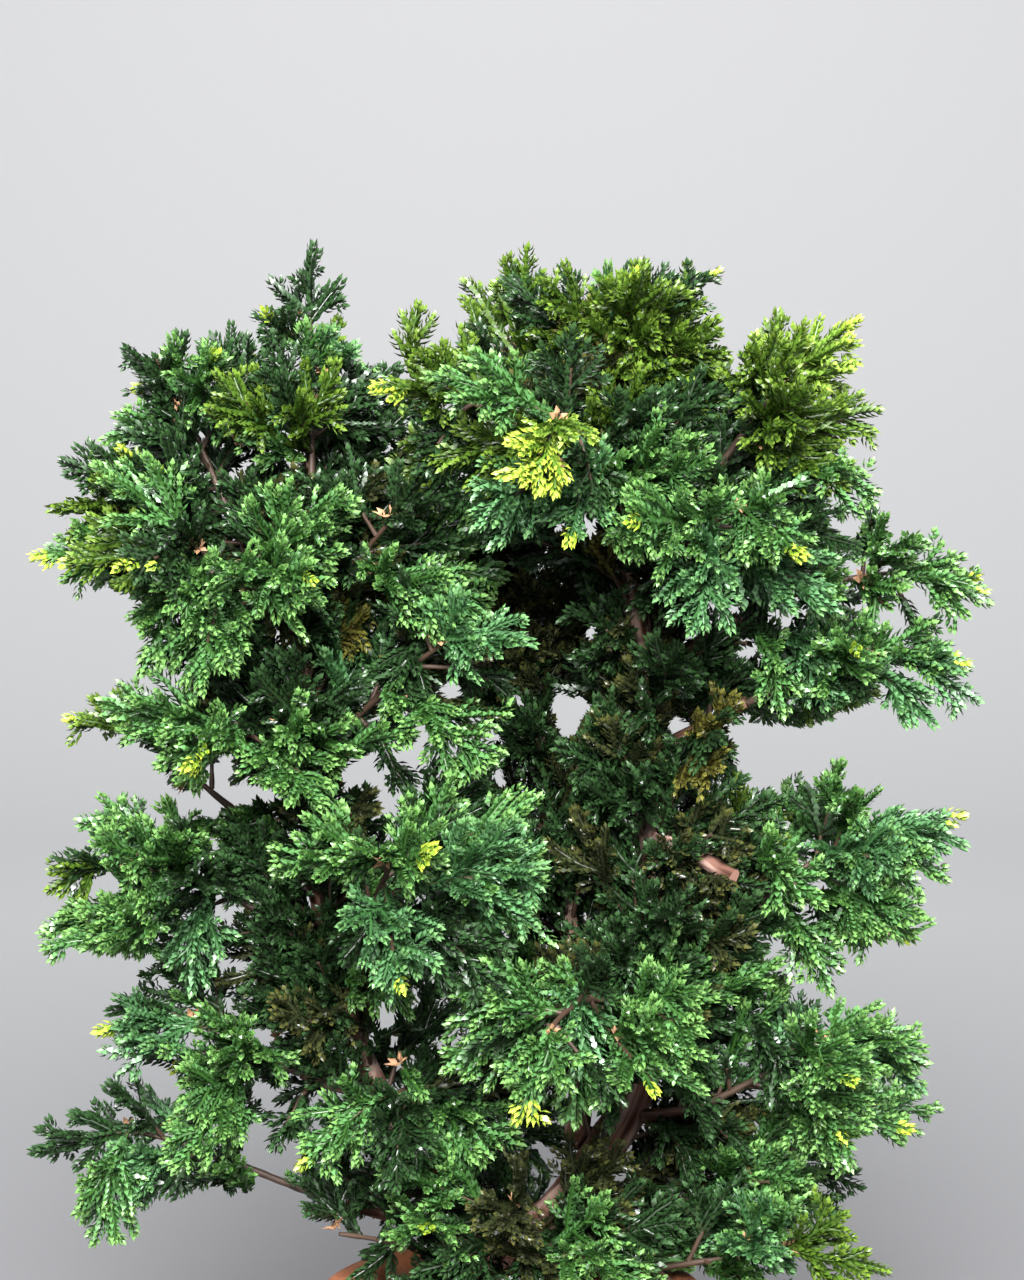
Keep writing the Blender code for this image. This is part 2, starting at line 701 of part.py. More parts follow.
def build():
    for obj in list(bpy.data.objects):
        bpy.data.objects.remove(obj)
    bark = material("bark", (0.115, 0.062, 0.042), 0.85)
    leaf = material("scale leaves", (0.055, 0.160, 0.038), 0.45)
    clay = material("terracotta", (0.420, 0.175, 0.085), 0.80)
    peat = material("peat", (0.030, 0.020, 0.014), 0.95)
    build_pot(clay)
    build_soil(peat)
    stems = stem_limbs()
    build_trunk(stems["trunk"], bark)
    for name in ("left_stem", "back_stem"):
        build_limb(name, stems[name], STEM_SIDES, bark)
    rows = branch_rows()
    curves = {name: branch_curve(row, stems) for name, row in rows.items()}
    parts = {name: branch_parts(rows[name], curves[name]) for name in rows}
    masses = grow_masses(rows, curves, parts, stems)
    for name, sprays in masses.items():
        bough, shoot = parts[name]
        if bough:
            build_limb(name + "_bough", bough, BOUGH_SIDES, bark)
        fuse(name, tube(shoot["line"], shoot["radii"], SHOOT_SIDES, shoot["start"]), sprays, leaf)
        print(name, len(sprays), "of", rows[name]["fans"])
    print("fans:", sum(len(sprays) for sprays in masses.values()))


build()
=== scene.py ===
import math
import random

import bpy
import numpy as np
from mathutils import Matrix, Vector, noise
from mathutils.bvhtree import BVHTree


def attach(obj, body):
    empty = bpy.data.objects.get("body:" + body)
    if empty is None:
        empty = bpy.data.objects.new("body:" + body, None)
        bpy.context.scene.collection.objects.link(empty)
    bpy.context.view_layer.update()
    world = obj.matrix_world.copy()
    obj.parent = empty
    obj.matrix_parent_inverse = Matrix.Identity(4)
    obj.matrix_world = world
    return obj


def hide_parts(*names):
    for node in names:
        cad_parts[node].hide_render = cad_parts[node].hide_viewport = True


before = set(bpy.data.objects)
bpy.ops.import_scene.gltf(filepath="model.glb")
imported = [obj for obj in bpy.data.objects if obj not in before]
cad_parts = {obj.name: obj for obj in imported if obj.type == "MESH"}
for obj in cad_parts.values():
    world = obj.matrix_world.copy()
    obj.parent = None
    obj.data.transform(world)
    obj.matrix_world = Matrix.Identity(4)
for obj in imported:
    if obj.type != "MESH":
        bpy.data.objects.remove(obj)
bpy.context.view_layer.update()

mm = 0.001
up = Vector((0.0, 0.0, 1.0))


# small helpers, for finishes, pieces, Geometry Nodes trees and lines

def linear(hexColour):
    parts = [int(hexColour[i:i + 2], 16) / 255 for i in (1, 3, 5)]
    return (*(c / 12.92 if c <= 0.04045 else ((c + 0.055) / 1.055) ** 2.4 for c in parts), 1.0)


def setInputs(tree, node, inputs):
    # a node is linked by its first output in use, a socket as it is, and a value is set
    for key, value in inputs.items():
        if isinstance(value, bpy.types.Node):
            value = next(socket for socket in value.outputs if socket.enabled)
        if isinstance(value, bpy.types.NodeSocket):
            tree.links.new(value, node.inputs[key])
        else:
            node.inputs[key].default_value = value


def addNode(tree, kind, inputs=None, **settings):
    node = tree.nodes.new(kind)
    for key, value in settings.items():
        setattr(node, key, value)
    setInputs(tree, node, inputs or {})
    return node


def setStops(ramp, first, last, *others):
    stops = ramp.color_ramp.elements
    for stop, (place, colour) in zip(stops, (first, last)):
        stop.position, stop.color = place, linear(colour)
    for place, colour in others:
        stops.new(place).color = linear(colour)
    return ramp


def newFinish(name, colour, values, pattern=None):
    # the pattern, if there is one, is a function that adds nodes and returns what they feed
    made = bpy.data.materials.new(name)
    made.use_nodes = True
    made.diffuse_color = linear(colour)
    tree = made.node_tree
    shader = tree.nodes["Principled BSDF"]
    setInputs(tree, shader, {"Base Color": linear(colour), **values})
    if pattern:
        setInputs(tree, shader, pattern(tree))
    return made


def cloudPatterns(tree, place, plan, *names):
    # soft random patterns, from the scale along each axis and the detail that the plan gives
    patterns = {}
    for name in names:
        scaled = addNode(tree, "ShaderNodeMapping", {"Vector": place, "Scale": plan[name][0]})
        patterns[name] = addNode(tree, "ShaderNodeTexNoise", {
            "Vector": scaled, "Scale": 1.0, "Detail": plan[name][1]})
    return patterns


def paintOver(tree, paint, factor, low, high, most, colour):
    # another colour where the factor is high
    share = addNode(tree, "ShaderNodeMapRange", {
        "Value": factor, "From Min": low, "From Max": high, "To Max": most}, clamp=True)
    return addNode(tree, "ShaderNodeMix", {0: share, 6: paint, 7: linear(colour)},
                   data_type="RGBA")


def newPiece(name, verts, faces, finishes=(), edges=()):
    mesh = bpy.data.meshes.new(name)
    mesh.from_pydata([tuple(v) for v in verts], list(edges), faces)
    for item in finishes:
        mesh.materials.append(item)
    piece = bpy.data.objects.new(name, mesh)
    bpy.context.scene.collection.objects.link(piece)
    return piece


def setPoints(mesh, **layers):
    # one value per vertex, for a Geometry Nodes tree or a material to read
    for name, values in layers.items():
        isVector = isinstance(values[0], Vector)
        layer = mesh.attributes.new(name, "FLOAT_VECTOR" if isVector else "FLOAT", "POINT")
        layer.data.foreach_set("vector" if isVector else "value",
                               np.asarray(values, dtype=np.float32).ravel())


def startTree(name, **inputs):
    tree = bpy.data.node_groups.new(name, "GeometryNodeTree")
    for side in ("INPUT", "OUTPUT"):
        tree.interface.new_socket(name="Geometry", in_out=side, socket_type="NodeSocketGeometry")
    for label, kind in inputs.items():
        tree.interface.new_socket(name=label, in_out="INPUT", socket_type="NodeSocket" + kind)
    return tree, tree.nodes.new("NodeGroupInput").outputs


def endTree(tree, geometry, *finishes):
    # makes the result plain, and gives it each finish on the faces chosen for it
    last = addNode(tree, "GeometryNodeRealizeInstances", {"Geometry": geometry})
    for finish, chosen in finishes:
        last = addNode(tree, "GeometryNodeSetMaterial",
                       {"Geometry": last, "Material": finish, "Selection": chosen})
    addNode(tree, "NodeGroupOutput", {"Geometry": last})
    return tree


treeLayers = ("along", "side", "size", "left", "gone", "yellow", "tip", "radius")


def growByTree(piece, tree, **values):
    # runs the tree on the piece and keeps the result as a plain mesh
    grower = piece.modifiers.new("grow", "NODES")
    grower.node_group = tree
    for item in tree.interface.items_tree:
        if item.in_out == "INPUT" and item.name in values:
            grower[item.identifier] = values[item.name]
    bpy.context.view_layer.update()
    grown = bpy.data.meshes.new_from_object(
        piece.evaluated_get(bpy.context.evaluated_depsgraph_get()))
    piece.modifiers.remove(grower)
    lines, piece.data = piece.data, grown
    bpy.data.meshes.remove(lines)
    for name in treeLayers:
        if name in grown.attributes:
            grown.attributes.remove(grown.attributes[name])


def between(first, last, share):
    return first + (last - first) * share


def lengthOf(line):
    return sum((b - a).length for a, b in zip(line, line[1:]))


def slopeAt(line, i):
    return (line[min(i + 1, len(line) - 1)] - line[max(i - 1, 0)]).normalized()


# the plant's plan: stems and branches, and the rule that grows the fans on them

stemPlan = {  # a few points of each centre line in mm, and the radius at foot and tip
    "trunk": {"line": ((-3, 2, 71.3), (6, 3, 92), (27, 7, 122), (32, 8, 170), (32, 8, 217),
                       (24, 6, 262), (20, 8, 284)),
              "foot": 5.6 * mm, "tip": 1.5 * mm, "host": None},
    "left_stem": {"line": ((-6, 3, 84), (-24, 3, 114), (-37, 3, 141), (-45, 3, 176),
                           (-48, 4, 217), (-46, 6, 262)),
                  "foot": 3.6 * mm, "tip": 1.3 * mm, "host": "trunk"},
    "back_stem": {"line": ((20, 8, 112), (17, 24, 140), (9, 37, 185), (3, 42, 232), (3, 44, 276)),
                  "foot": 3.2 * mm, "tip": 1.2 * mm, "host": "trunk"},
}
branchFields = ("stem", "fork", "bearing", "reach", "height", "rise", "pitch", "bough", "spread",
                "fans", "fan", "seed")
branchPlan = {  # mm and degrees; bough is the bare share of the branch, the seed picks its growth
    "left_front_low": ("left_stem", 200, -144, 86, 210, 1.0, -35, 0.22, 20, 9, 30, 0),
    "left_front": ("left_stem", 232, -149, 96, 252, 1.0, -25, 0.24, 22, 10, 32, 1),
    "front_branch": ("left_stem", 154, -105, 72, 194, 0.9, 0, 0.30, 20, 8, 32, 2),
    "front_drop": ("trunk", 140, -88, 66, 136, 1.4, -80, 0.24, 16, 8, 29, 3),
    "top_front": ("trunk", 262, -87, 65, 270, 1.4, -60, 0, 17, 8, 29, 4),
    "right_front": ("trunk", 242, -36, 76, 254, 1.4, -55, 0.24, 19, 9, 31, 5),
    "crest_left": ("left_stem", 0, 153, 53, 322, 1.0, 88, 0, 8, 9, 22, 5),
    "high_left": ("left_stem", 236, 162, 99, 291, 1.1, -10, 0.25, 22, 11, 29, 7),
    "left_arm": ("left_stem", 226, -177, 108, 252, 0.9, -10, 0.32, 14, 9, 26, 8),
    "left_small": ("left_stem", 184, 167, 108, 212, 0.5, -5, 0, 9, 5, 24, 9),
    "center_left": ("left_stem", 205, -87, 40, 236, 0.8, -10, 0, 16, 8, 30, 10),
    "inner_left": ("left_stem", 240, -111, 32, 268, 0.6, 0, 0, 15, 6, 30, 11),
    "top_front_left": ("trunk", 266, -132, 44, 290, 0.7, -5, 0, 15, 7, 28, 12),
    "top_back": ("back_stem", 0, 85, 45, 322, 1.0, 70, 0, 16, 8, 30, 13),
    "top_right": ("trunk", 0, 23, 51, 316, 1.0, 45, 0, 14, 8, 30, 14),
    "right_crest": ("trunk", 252, -4, 77, 305, 0.8, 35, 0.24, 18, 9, 28, 15),
    "right_arm": ("trunk", 224, 3, 109, 243, 0.9, -20, 0.32, 14, 8, 26, 16),
    "right_low_arm": ("trunk", 206, -8, 103, 229, 0.9, -5, 0.28, 12, 8, 28, 17),
    "left_tier": ("left_stem", 160, 177, 111, 172, 1.5, -40, 0.22, 24, 11, 31, 18),
    "mid_right": ("trunk", 137, -52, 56, 150, 0.8, -15, 0, 15, 6, 26, 19),
    "right_tier": ("trunk", 154, 0, 103, 192, 1.0, -5, 0.24, 20, 9, 31, 20),
    "right_tier_low": ("trunk", 122, -9, 94, 142, 0.8, -20, 0.22, 17, 9, 31, 21),
    "left_mid_low": ("left_stem", 128, -177, 95, 143, 0.8, -30, 0.22, 17, 8, 30, 22),
    "left_bottom": ("left_stem", 98, 175, 113, 112, 0.9, -25, 0.22, 18, 10, 30, 23),
    "bottom_left": ("left_stem", 92, -158, 64, 97, 0.9, -20, 0, 17, 7, 28, 24),
    "bottom_center": ("trunk", 90, -92, 46, 110, 0.8, -20, 0, 18, 8, 30, 25),
    "center_low": ("left_stem", 118, -118, 53, 144, 0.8, -5, 0, 15, 6, 27, 38),
    "bottom_right": ("trunk", 104, 8, 78, 114, 0.5, -5, 0, 19, 9, 31, 26),
    "bottom_right_front": ("trunk", 86, -17, 88, 94, 0.7, -10, 0, 17, 8, 29, 27),
    "right_far": ("trunk", 98, 29, 122, 110, 0.6, -5, 0, 13, 7, 25, 28),
    "rear_top_left": ("left_stem", 250, 124, 86, 286, 0.8, -10, 0, 20, 8, 32, 29),
    "rear_top_right": ("trunk", 245, 50, 86, 287, 0.8, -10, 0, 20, 7, 32, 30),
    "rear_mid_left": ("left_stem", 195, 137, 96, 232, 0.7, -20, 0, 21, 9, 32, 31),
    "rear_mid": ("back_stem", 205, 90, 96, 238, 0.8, -20, 0.24, 22, 9, 32, 32),
    "rear_mid_right": ("trunk", 196, 38, 98, 232, 0.7, -15, 0, 20, 9, 32, 33),
    "rear_low_left": ("left_stem", 132, 137, 98, 164, 0.7, -25, 0, 21, 9, 32, 34),
    "rear_low": ("back_stem", 142, 88, 94, 172, 0.7, -25, 0, 21, 8, 32, 35),
    "rear_low_right": ("trunk", 116, 58, 96, 172, 0.7, -25, 0, 21, 9, 32, 36),
    "rear_bottom": ("trunk", 88, 105, 82, 108, 0.6, -25, 0, 21, 8, 32, 37),
}
limbPlan = {  # how the stems, boughs and shoots are built up from rings
    "clearance": 0.3 * mm, "stemRingStep": 16 * mm, "stemTaper": 0.85,
    "flare": 0.75, "flareHeight": 7 * mm, "flareRings": (0.22, 0.5), "flareLobes": 4,
    "flareLobeDepth": 0.07,
    "boughRadius": 1.9 * mm, "boughTaper": 0.62, "boughSides": 6, "ringStep": 11 * mm,
    "shootRadius": 1.15 * mm, "shootTaper": 0.55, "curvePull": 0.36, "climb": 0.6,
    "tipFanShare": 0.80,
}
fanPlan = {  # where the fans stand on a branch, and the shape each of them fills
    "thickness": 2.4 * mm, "cup": 0.22, "root": 0.40, "probes": (0.35, 0.7), "swell": 4,
    "lobes": ((0, 0.62), (50, 0.60), (100, 0.50)), "notch": 0.80,
    "twigRadius": 0.62 * mm, "twigSink": 3,
    "slant": math.radians(58), "slantChange": 0.2, "first": 0.02, "last": 0.92,
    "twigShortening": 0.45, "leastTwig": 0.45, "fanShortening": 0.3, "longestFan": 1.12,
    "leastFan": 0.85, "spread": 0.2, "droop": (-0.4, 0.2), "facingOut": 0.6, "facingUp": 0.3,
    "facingLight": 0.4, "light": Vector((-0.2, -0.8, 0.5)), "rollChange": 0.3, "tipRoll": 1.1,
    "spacing": 0.40, "tipMargin": 2 * mm, "depth": 0.9, "upright": 60, "tries": 80,
    "goldenAngle": math.radians(137.5), "goldenShare": 0.618,
    "spaceHeart": 0.8, "spaceCore": 10 * mm, "spacePerSpread": 0.6, "spaceShared": 18 * mm,
    "neighbourMargin": 0.7 * mm, "limbMargin": 1.5 * mm,
}
potPlan = {  # outside and inside of the pot, its rounded edges and its filling
    "height": 80 * mm, "footRadius": 31 * mm, "rimRadius": 45 * mm, "band": 18 * mm,
    "step": 2.6 * mm, "wall": 5.5 * mm, "floor": 7 * mm, "edge": 1.2 * mm, "neckEdge": 0.5 * mm,
    "bandEdge": 0.9 * mm, "rimEdge": 1.9 * mm, "innerEdge": 1.7 * mm, "floorEdge": 2.5 * mm,
    "edgeRows": 5, "bandTaper": 0.3, "bandRise": 0.6 * mm,
    "row": 2.2 * mm, "soilTop": 71 * mm, "margin": 3 * mm, "sides": 144,
    "wheelMark": 0.06 * mm, "wheelStep": 3 * mm, "wheelSlant": 0.8,
    "oval": 0.10 * mm, "ovalTurn": 0.7,
}


def bearingVector(degrees):
    angle = math.radians(degrees)
    return Vector((math.cos(angle), math.sin(angle), 0.0))


def throughPoints(points, i, t):
    # on the smooth curve through the points, share t of the way from point i to the next
    before, here, there, after = (points[max(i - 1, 0)], points[i], points[i + 1],
                                  points[min(i + 2, len(points) - 1)])
    return 0.5 * (2 * here + (there - before) * t
                  + (2 * before - 5 * here + 4 * there - after) * t * t
                  + (3 * here - before - 3 * there + after) * t ** 3)


def smoothLine(points, step):
    line = []
    for i, (here, there) in enumerate(zip(points, points[1:])):
        count = max(1, round((there - here).length / step))
        line += [throughPoints(points, i, k / count) for k in range(count)]
    return line + [points[-1].copy()]


def bezier(ends, t):
    a, b, c, d = ends
    s = 1 - t
    return a * s ** 3 + b * (3 * s * s * t) + c * (3 * s * t * t) + d * t ** 3


def bezierSlope(ends, t):
    a, b, c, d = ends
    s = 1 - t
    return ((b - a) * (3 * s * s) + (c - b) * (6 * s * t) + (d - c) * (3 * t * t)).normalized()


def across(axis, towards):
    side = towards - axis * towards.dot(axis)
    if side.length < 1e-6:
        side = axis.orthogonal()
    return side.normalized()


def atHeight(line, radii, height):
    for i in range(len(line) - 1):
        if line[i].z <= height <= line[i + 1].z:
            share = (height - line[i].z) / (line[i + 1].z - line[i].z)
            return (line[i].lerp(line[i + 1], share), between(radii[i], radii[i + 1], share),
                    (line[i + 1] - line[i]).normalized())
    return line[-1], radii[-1], (line[-1] - line[-2]).normalized()


def tubeQuads(first, rings, sides):
    # the wall and the two ends of a tube whose rings of points follow one another
    faces = []
    for ring in range(first, first + (rings - 1) * sides, sides):
        for k in range(sides):
            a, b = ring + k, ring + (k + 1) % sides
            faces.append((a, b, b + sides, a + sides))
    end = first + rings * sides
    return faces + [tuple(range(first, first + sides))[::-1], tuple(range(end - sides, end))]


def tubeFaces(line, radii, sides):
    verts, side = [], None
    for i, point in enumerate(line):
        slope = slopeAt(line, i)
        side = across(slope, side if side else slope.orthogonal())
        other = slope.cross(side)
        for k in range(sides):
            angle = 2 * math.pi * k / sides
            verts.append(point + (side * math.cos(angle) + other * math.sin(angle)) * radii[i])
    return verts, tubeQuads(0, len(line), sides)


def stemLimbs():
    limbs = {}
    for name, row in stemPlan.items():
        points = [Vector(point) * mm for point in row["line"]]
        if row["host"]:
            host = limbs[row["host"]]
            centre, radius, slope = atHeight(host["line"], host["radii"], points[0].z)
            out = across(slope, points[1] - centre)
            points[0] = centre + out * (radius + limbPlan["clearance"])
            points.insert(1, points[0] + out * row["foot"])
        else:
            out = up
        line = smoothLine(points, limbPlan["stemRingStep"])
        last = len(line) - 1
        radii = [between(row["foot"], row["tip"], (i / last) ** limbPlan["stemTaper"])
                 for i in range(last + 1)]
        if not row["host"]:
            extra = [line[0].lerp(line[1], share) for share in limbPlan["flareRings"]]
            line[1:1] = extra
            radii[1:1] = [radii[0]] * len(extra)
            radii = [radius * (1 + limbPlan["flare"] * flareFade(point, line[0]))
                     for radius, point in zip(radii, line)]
        limbs[name] = {"line": line, "radii": radii, "start": out}
    return limbs


def flareFade(point, foot):
    return math.exp(-(point.z - foot.z) / limbPlan["flareHeight"])


def branchCurve(row, stems):
    stem = stems[row["stem"]]
    tip = bearingVector(row["bearing"]) * row["reach"] * mm + up * row["height"] * mm
    if row["fork"]:
        centre, radius, slope = atHeight(stem["line"], stem["radii"], row["fork"] * mm)
        out = across(slope, tip - centre)
        start = centre + out * (radius + limbPlan["clearance"])
        first = (out + up * row["rise"] * limbPlan["climb"]).normalized()
    else:
        slope = (stem["line"][-1] - stem["line"][-2]).normalized()
        start = stem["line"][-1] + slope * limbPlan["clearance"]
        first = (slope + up).normalized()
    span = (tip - start).length
    flat = (tip - start).normalized()
    flat = Vector((flat.x, flat.y, 0.0)).normalized()
    pitch = math.radians(row["pitch"])
    last = flat * math.cos(pitch) + up * math.sin(pitch)
    pull = span * limbPlan["curvePull"]
    return {"ends": (start, start + first * pull, tip - last * pull, tip), "span": span}


def limbAlong(ends, span, t0, t1, radius, taper):
    count = max(3, round((t1 - t0) * span / limbPlan["ringStep"]))
    line = [bezier(ends, t0 + (t1 - t0) * i / count) for i in range(count + 1)]
    radii = [radius * (1 + (taper - 1) * i / count) for i in range(count + 1)]
    return {"line": line, "radii": radii, "from": t0, "to": t1, "ends": ends}


def branchParts(row, curve):
    ends, span = curve["ends"], curve["span"]
    shootEnd = 1 - limbPlan["tipFanShare"] * row["fan"] * mm / span
    bough = None
    start = 0.0
    if row["bough"]:
        bough = limbAlong(ends, span, 0.0, row["bough"], limbPlan["boughRadius"],
                          limbPlan["boughTaper"])
        start = row["bough"] + limbPlan["clearance"] / span
    return bough, limbAlong(ends, span, start, shootEnd, limbPlan["shootRadius"],
                            limbPlan["shootTaper"])


def branchSpace(shoot, row):
    line = shoot["line"]
    return {"heart": line[0].lerp(line[-1], fanPlan["spaceHeart"]),
            "size": fanPlan["spaceCore"] + fanPlan["spacePerSpread"] * row["spread"] * mm}


def inSpace(points, own, others):
    for other in others:
        apart = other["heart"] - own["heart"]
        distance = apart.length
        limit = (distance ** 2 + own["size"] ** 2 - other["size"] ** 2) / (2 * distance)
        normal = apart / distance
        for point in points:
            if (point - own["heart"]).dot(normal) > limit + fanPlan["spaceShared"]:
                return False
    return True


class Rods:
    # limbs as rods, for clearance tests
    def __init__(self, limbs):
        starts, ends, radii = [], [], []
        for limb in limbs:
            for i in range(len(limb["line"]) - 1):
                starts.append(limb["line"][i])
                ends.append(limb["line"][i + 1])
                radii.append(limb["radii"][i])
        self.starts = np.array(starts)
        self.spans = np.array(ends) - self.starts
        self.lengths = (self.spans ** 2).sum(axis=1)
        self.radii = np.array(radii)

    def gaps(self, points):
        places = np.array(points)[:, None, :]
        share = ((places - self.starts) * self.spans).sum(axis=2) / self.lengths
        share = np.clip(share, 0, 1)[:, :, None]
        distance = np.linalg.norm(places - self.starts - self.spans * share, axis=2)
        return distance - self.radii

    def clear(self, points, margin):
        return bool((self.gaps(points) > margin).all())


def clearOfPot(points):
    return all(point.z > potPlan["height"] + potPlan["margin"]
               or math.hypot(point.x, point.y) > potPlan["rimRadius"] + potPlan["margin"]
               for point in points)


def fanOutline():
    half = [(math.radians(angle), size) for angle, size in fanPlan["lobes"]]
    right = [half[0]]
    for (a0, s0), (a1, s1) in zip(half, half[1:]):
        right += [((a0 + a1) / 2, (s0 + s1) / 2 * fanPlan["notch"]), (a1, s1)]
    ring = [(-angle, size) for angle, size in right[:0:-1]] + right
    return [(size * math.cos(angle), size * math.sin(angle)) for angle, size in ring]


def fanMiddle(fan):
    return fan["root"] + fan["axis"] * (fanPlan["root"] * fan["length"])


def fanBlade(fan, margin=0.0):
    middle = fanMiddle(fan)
    side = fan["axis"].cross(fan["face"])
    rim = []
    for forward, sideways in fanOutline():
        droop = fanPlan["cup"] * (forward ** 2 + sideways ** 2)
        rim.append(middle + (fan["axis"] * forward + side * sideways - fan["face"] * droop)
                   * fan["length"])
    half = fan["face"] * (fanPlan["thickness"] / 2 + margin)
    return rim, middle + half, middle - half


def spraySolid(fan, start, margin=0.0):
    rim, top, bottom = fanBlade(fan, margin)
    radius = fanPlan["twigRadius"] + margin
    side = fan["axis"].cross(fan["face"]) * radius
    keel = fan["face"] * radius
    neck = [fan["root"] + side, fan["root"] - keel, fan["root"] - side]
    slope = (fan["root"] - start).normalized()
    acrossTwig = across(slope, side) * radius
    foot = [start + acrossTwig, start + slope.cross(acrossTwig), start - acrossTwig]
    verts = rim + [top, bottom] + neck + foot
    count = len(rim)
    top, bottom = count, count + 1
    right, under, left = range(count + 2, count + 5)
    outline = [left] + list(range(count)) + [right]
    faces = [(left, right, top), (right, under, bottom), (under, left, bottom)]
    for a, b in zip(outline, outline[1:]):
        faces += [(b, a, top), (a, b, bottom)]
    for k in range(3):
        a, b = count + 2 + k, count + 2 + (k + 1) % 3
        faces.append((a, a + 3, b + 3, b))
    faces.append((count + 5, count + 7, count + 6))
    return verts, faces


def fanPoints(fan):
    rim, top, bottom = fanBlade(fan)
    return rim + [top, bottom] + [bottom.lerp(point, share) for point in rim
                                  for share in fanPlan["probes"]]


def makeFan(root, axis, towards, length):
    return {"root": root, "axis": axis, "face": across(axis, towards), "length": length}


def swollenTree(fan, start):
    larger = dict(fan, length=fan["length"] + fanPlan["swell"] * fanPlan["neighbourMargin"])
    larger["root"] = fanMiddle(fan) - fan["axis"] * (fanPlan["root"] * larger["length"])
    return BVHTree.FromPolygons(*spraySolid(larger, start, fanPlan["neighbourMargin"]))


def joinedTree(meshes):
    verts, faces = [], []
    for meshVerts, meshFaces in meshes:
        faces += [tuple(index + len(verts) for index in face) for face in meshFaces]
        verts += meshVerts
    return BVHTree.FromPolygons(verts, faces)


def facingOf(row):
    return up + bearingVector(row["bearing"]) * fanPlan["facingOut"]


def tipSpray(row, curve, shoot):
    ends = curve["ends"]
    slope = bezierSlope(ends, 1.0)
    root = bezier(ends, shoot["to"])
    roll = random.Random(row["seed"]).uniform(-fanPlan["tipRoll"], fanPlan["tipRoll"])
    face = Matrix.Rotation(roll, 3, slope) @ across(slope, facingOf(row))
    axis = ends[3] - root
    return (makeFan(root, axis.normalized(), face, axis.length),
            shoot["line"][-1] - slope * fanPlan["twigRadius"] * fanPlan["twigSink"])


def growMass(row, curve, shoot, space, others, rods, neighbours):
    plan = fanPlan
    rng = random.Random(row["seed"])
    ends = curve["ends"]
    outward = bearingVector(row["bearing"])
    facing = facingOf(row)
    heights = [point.z for point in shoot["line"]]
    depth = row["spread"] * mm * plan["depth"]
    ceiling = max(ends[3].z + plan["tipMargin"], max(heights) + depth)
    floor = min(ends[3].z - plan["tipMargin"], min(heights) - depth)
    upright = row["pitch"] > plan["upright"]
    reach = (row["reach"] + upright * row["spread"]) * mm + plan["tipMargin"]
    lastFan, lastStart = tipSpray(row, curve, shoot)
    fans, middles = [dict(lastFan, start=lastStart)], [fanMiddle(lastFan)]
    for i in range(row["fans"] * plan["tries"]):
        if len(fans) >= row["fans"]:
            break
        share = between(plan["first"], plan["last"], i * plan["goldenShare"] % 1.0)
        t = between(shoot["from"], shoot["to"], share)
        root, slope = bezier(ends, t), bezierSlope(ends, t)
        above = across(slope, facing)
        roll = i * plan["goldenAngle"] + rng.uniform(-plan["rollChange"], plan["rollChange"])
        spread = above * math.cos(roll) + slope.cross(above) * math.sin(roll)
        slant = plan["slant"] * rng.uniform(1 - plan["slantChange"], 1 + plan["slantChange"])
        direction = (slope * math.cos(slant) + spread * math.sin(slant)).normalized()
        length = (row["spread"] * mm * (1.0 - plan["twigShortening"] * share)
                  * rng.uniform(plan["leastTwig"], 1.0))
        axis = direction + spread * plan["spread"] + up * rng.uniform(*plan["droop"])
        face = (spread + facing * plan["facingUp"] + outward * rng.uniform(0.0, plan["facingOut"])
                + plan["light"] * plan["facingLight"])
        fan = makeFan(root + direction * length, axis.normalized(), face,
                      row["fan"] * mm * (plan["longestFan"] - plan["fanShortening"] * share)
                      * rng.uniform(plan["leastFan"], 1.0))
        middle = fanMiddle(fan)
        points = fanPoints(fan)
        stalk = [root.lerp(fan["root"], k / 4) for k in (1, 2, 3)]
        if (min((middle - other).length for other in middles) > plan["spacing"] * row["fan"] * mm
                and max(point.dot(outward) for point in points) < reach
                and all(floor < point.z < ceiling for point in points)
                and inSpace(points + stalk, space, others)
                and rods.clear(points, plan["limbMargin"])
                and rods.clear(stalk, plan["twigRadius"] * 2)
                and clearOfPot(points)):
            tree = swollenTree(fan, root)
            if not any(tree.overlap(other) for other in neighbours):
                fans.append(dict(fan, start=root))
                middles.append(middle)
    return fans


def growPlant():
    stems = stemLimbs()
    rows = {name: dict(zip(branchFields, row)) for name, row in branchPlan.items()}
    curves = {name: branchCurve(row, stems) for name, row in rows.items()}
    parts = {name: branchParts(rows[name], curves[name]) for name in rows}
    spaces = {name: branchSpace(parts[name][1], rows[name]) for name in rows}
    tips = {name: joinedTree([spraySolid(*tipSpray(rows[name], curves[name], parts[name][1]))])
            for name in rows}
    masses, grown = {}, []
    for name, row in rows.items():
        shoot = parts[name][1]
        others = [spaces[key] for key in rows if key != name]
        limbs = list(stems.values()) + [limb for key in rows for limb in parts[key] if limb
                                        and not (key == name and limb is shoot)]
        wood = joinedTree([tubeFaces(limb["line"], limb["radii"], limbPlan["boughSides"])
                           for limb in limbs])
        tipsAhead = [tips[key] for key in rows if key != name and key not in masses]
        masses[name] = growMass(row, curves[name], shoot, spaces[name], others, Rods(limbs),
                                grown + tipsAhead + [wood])
        grown.append(joinedTree([spraySolid(fan, fan["start"]) for fan in masses[name]]))
    return stems, rows, parts, masses


stems, rows, parts, masses = growPlant()
fanCount = sum(len(fans) for fans in masses.values())
print("plan grown:", fanCount, "fans on", len(masses), "branches")


# shoots: each fan is filled with a main shoot, side shoots left and right, and little ones

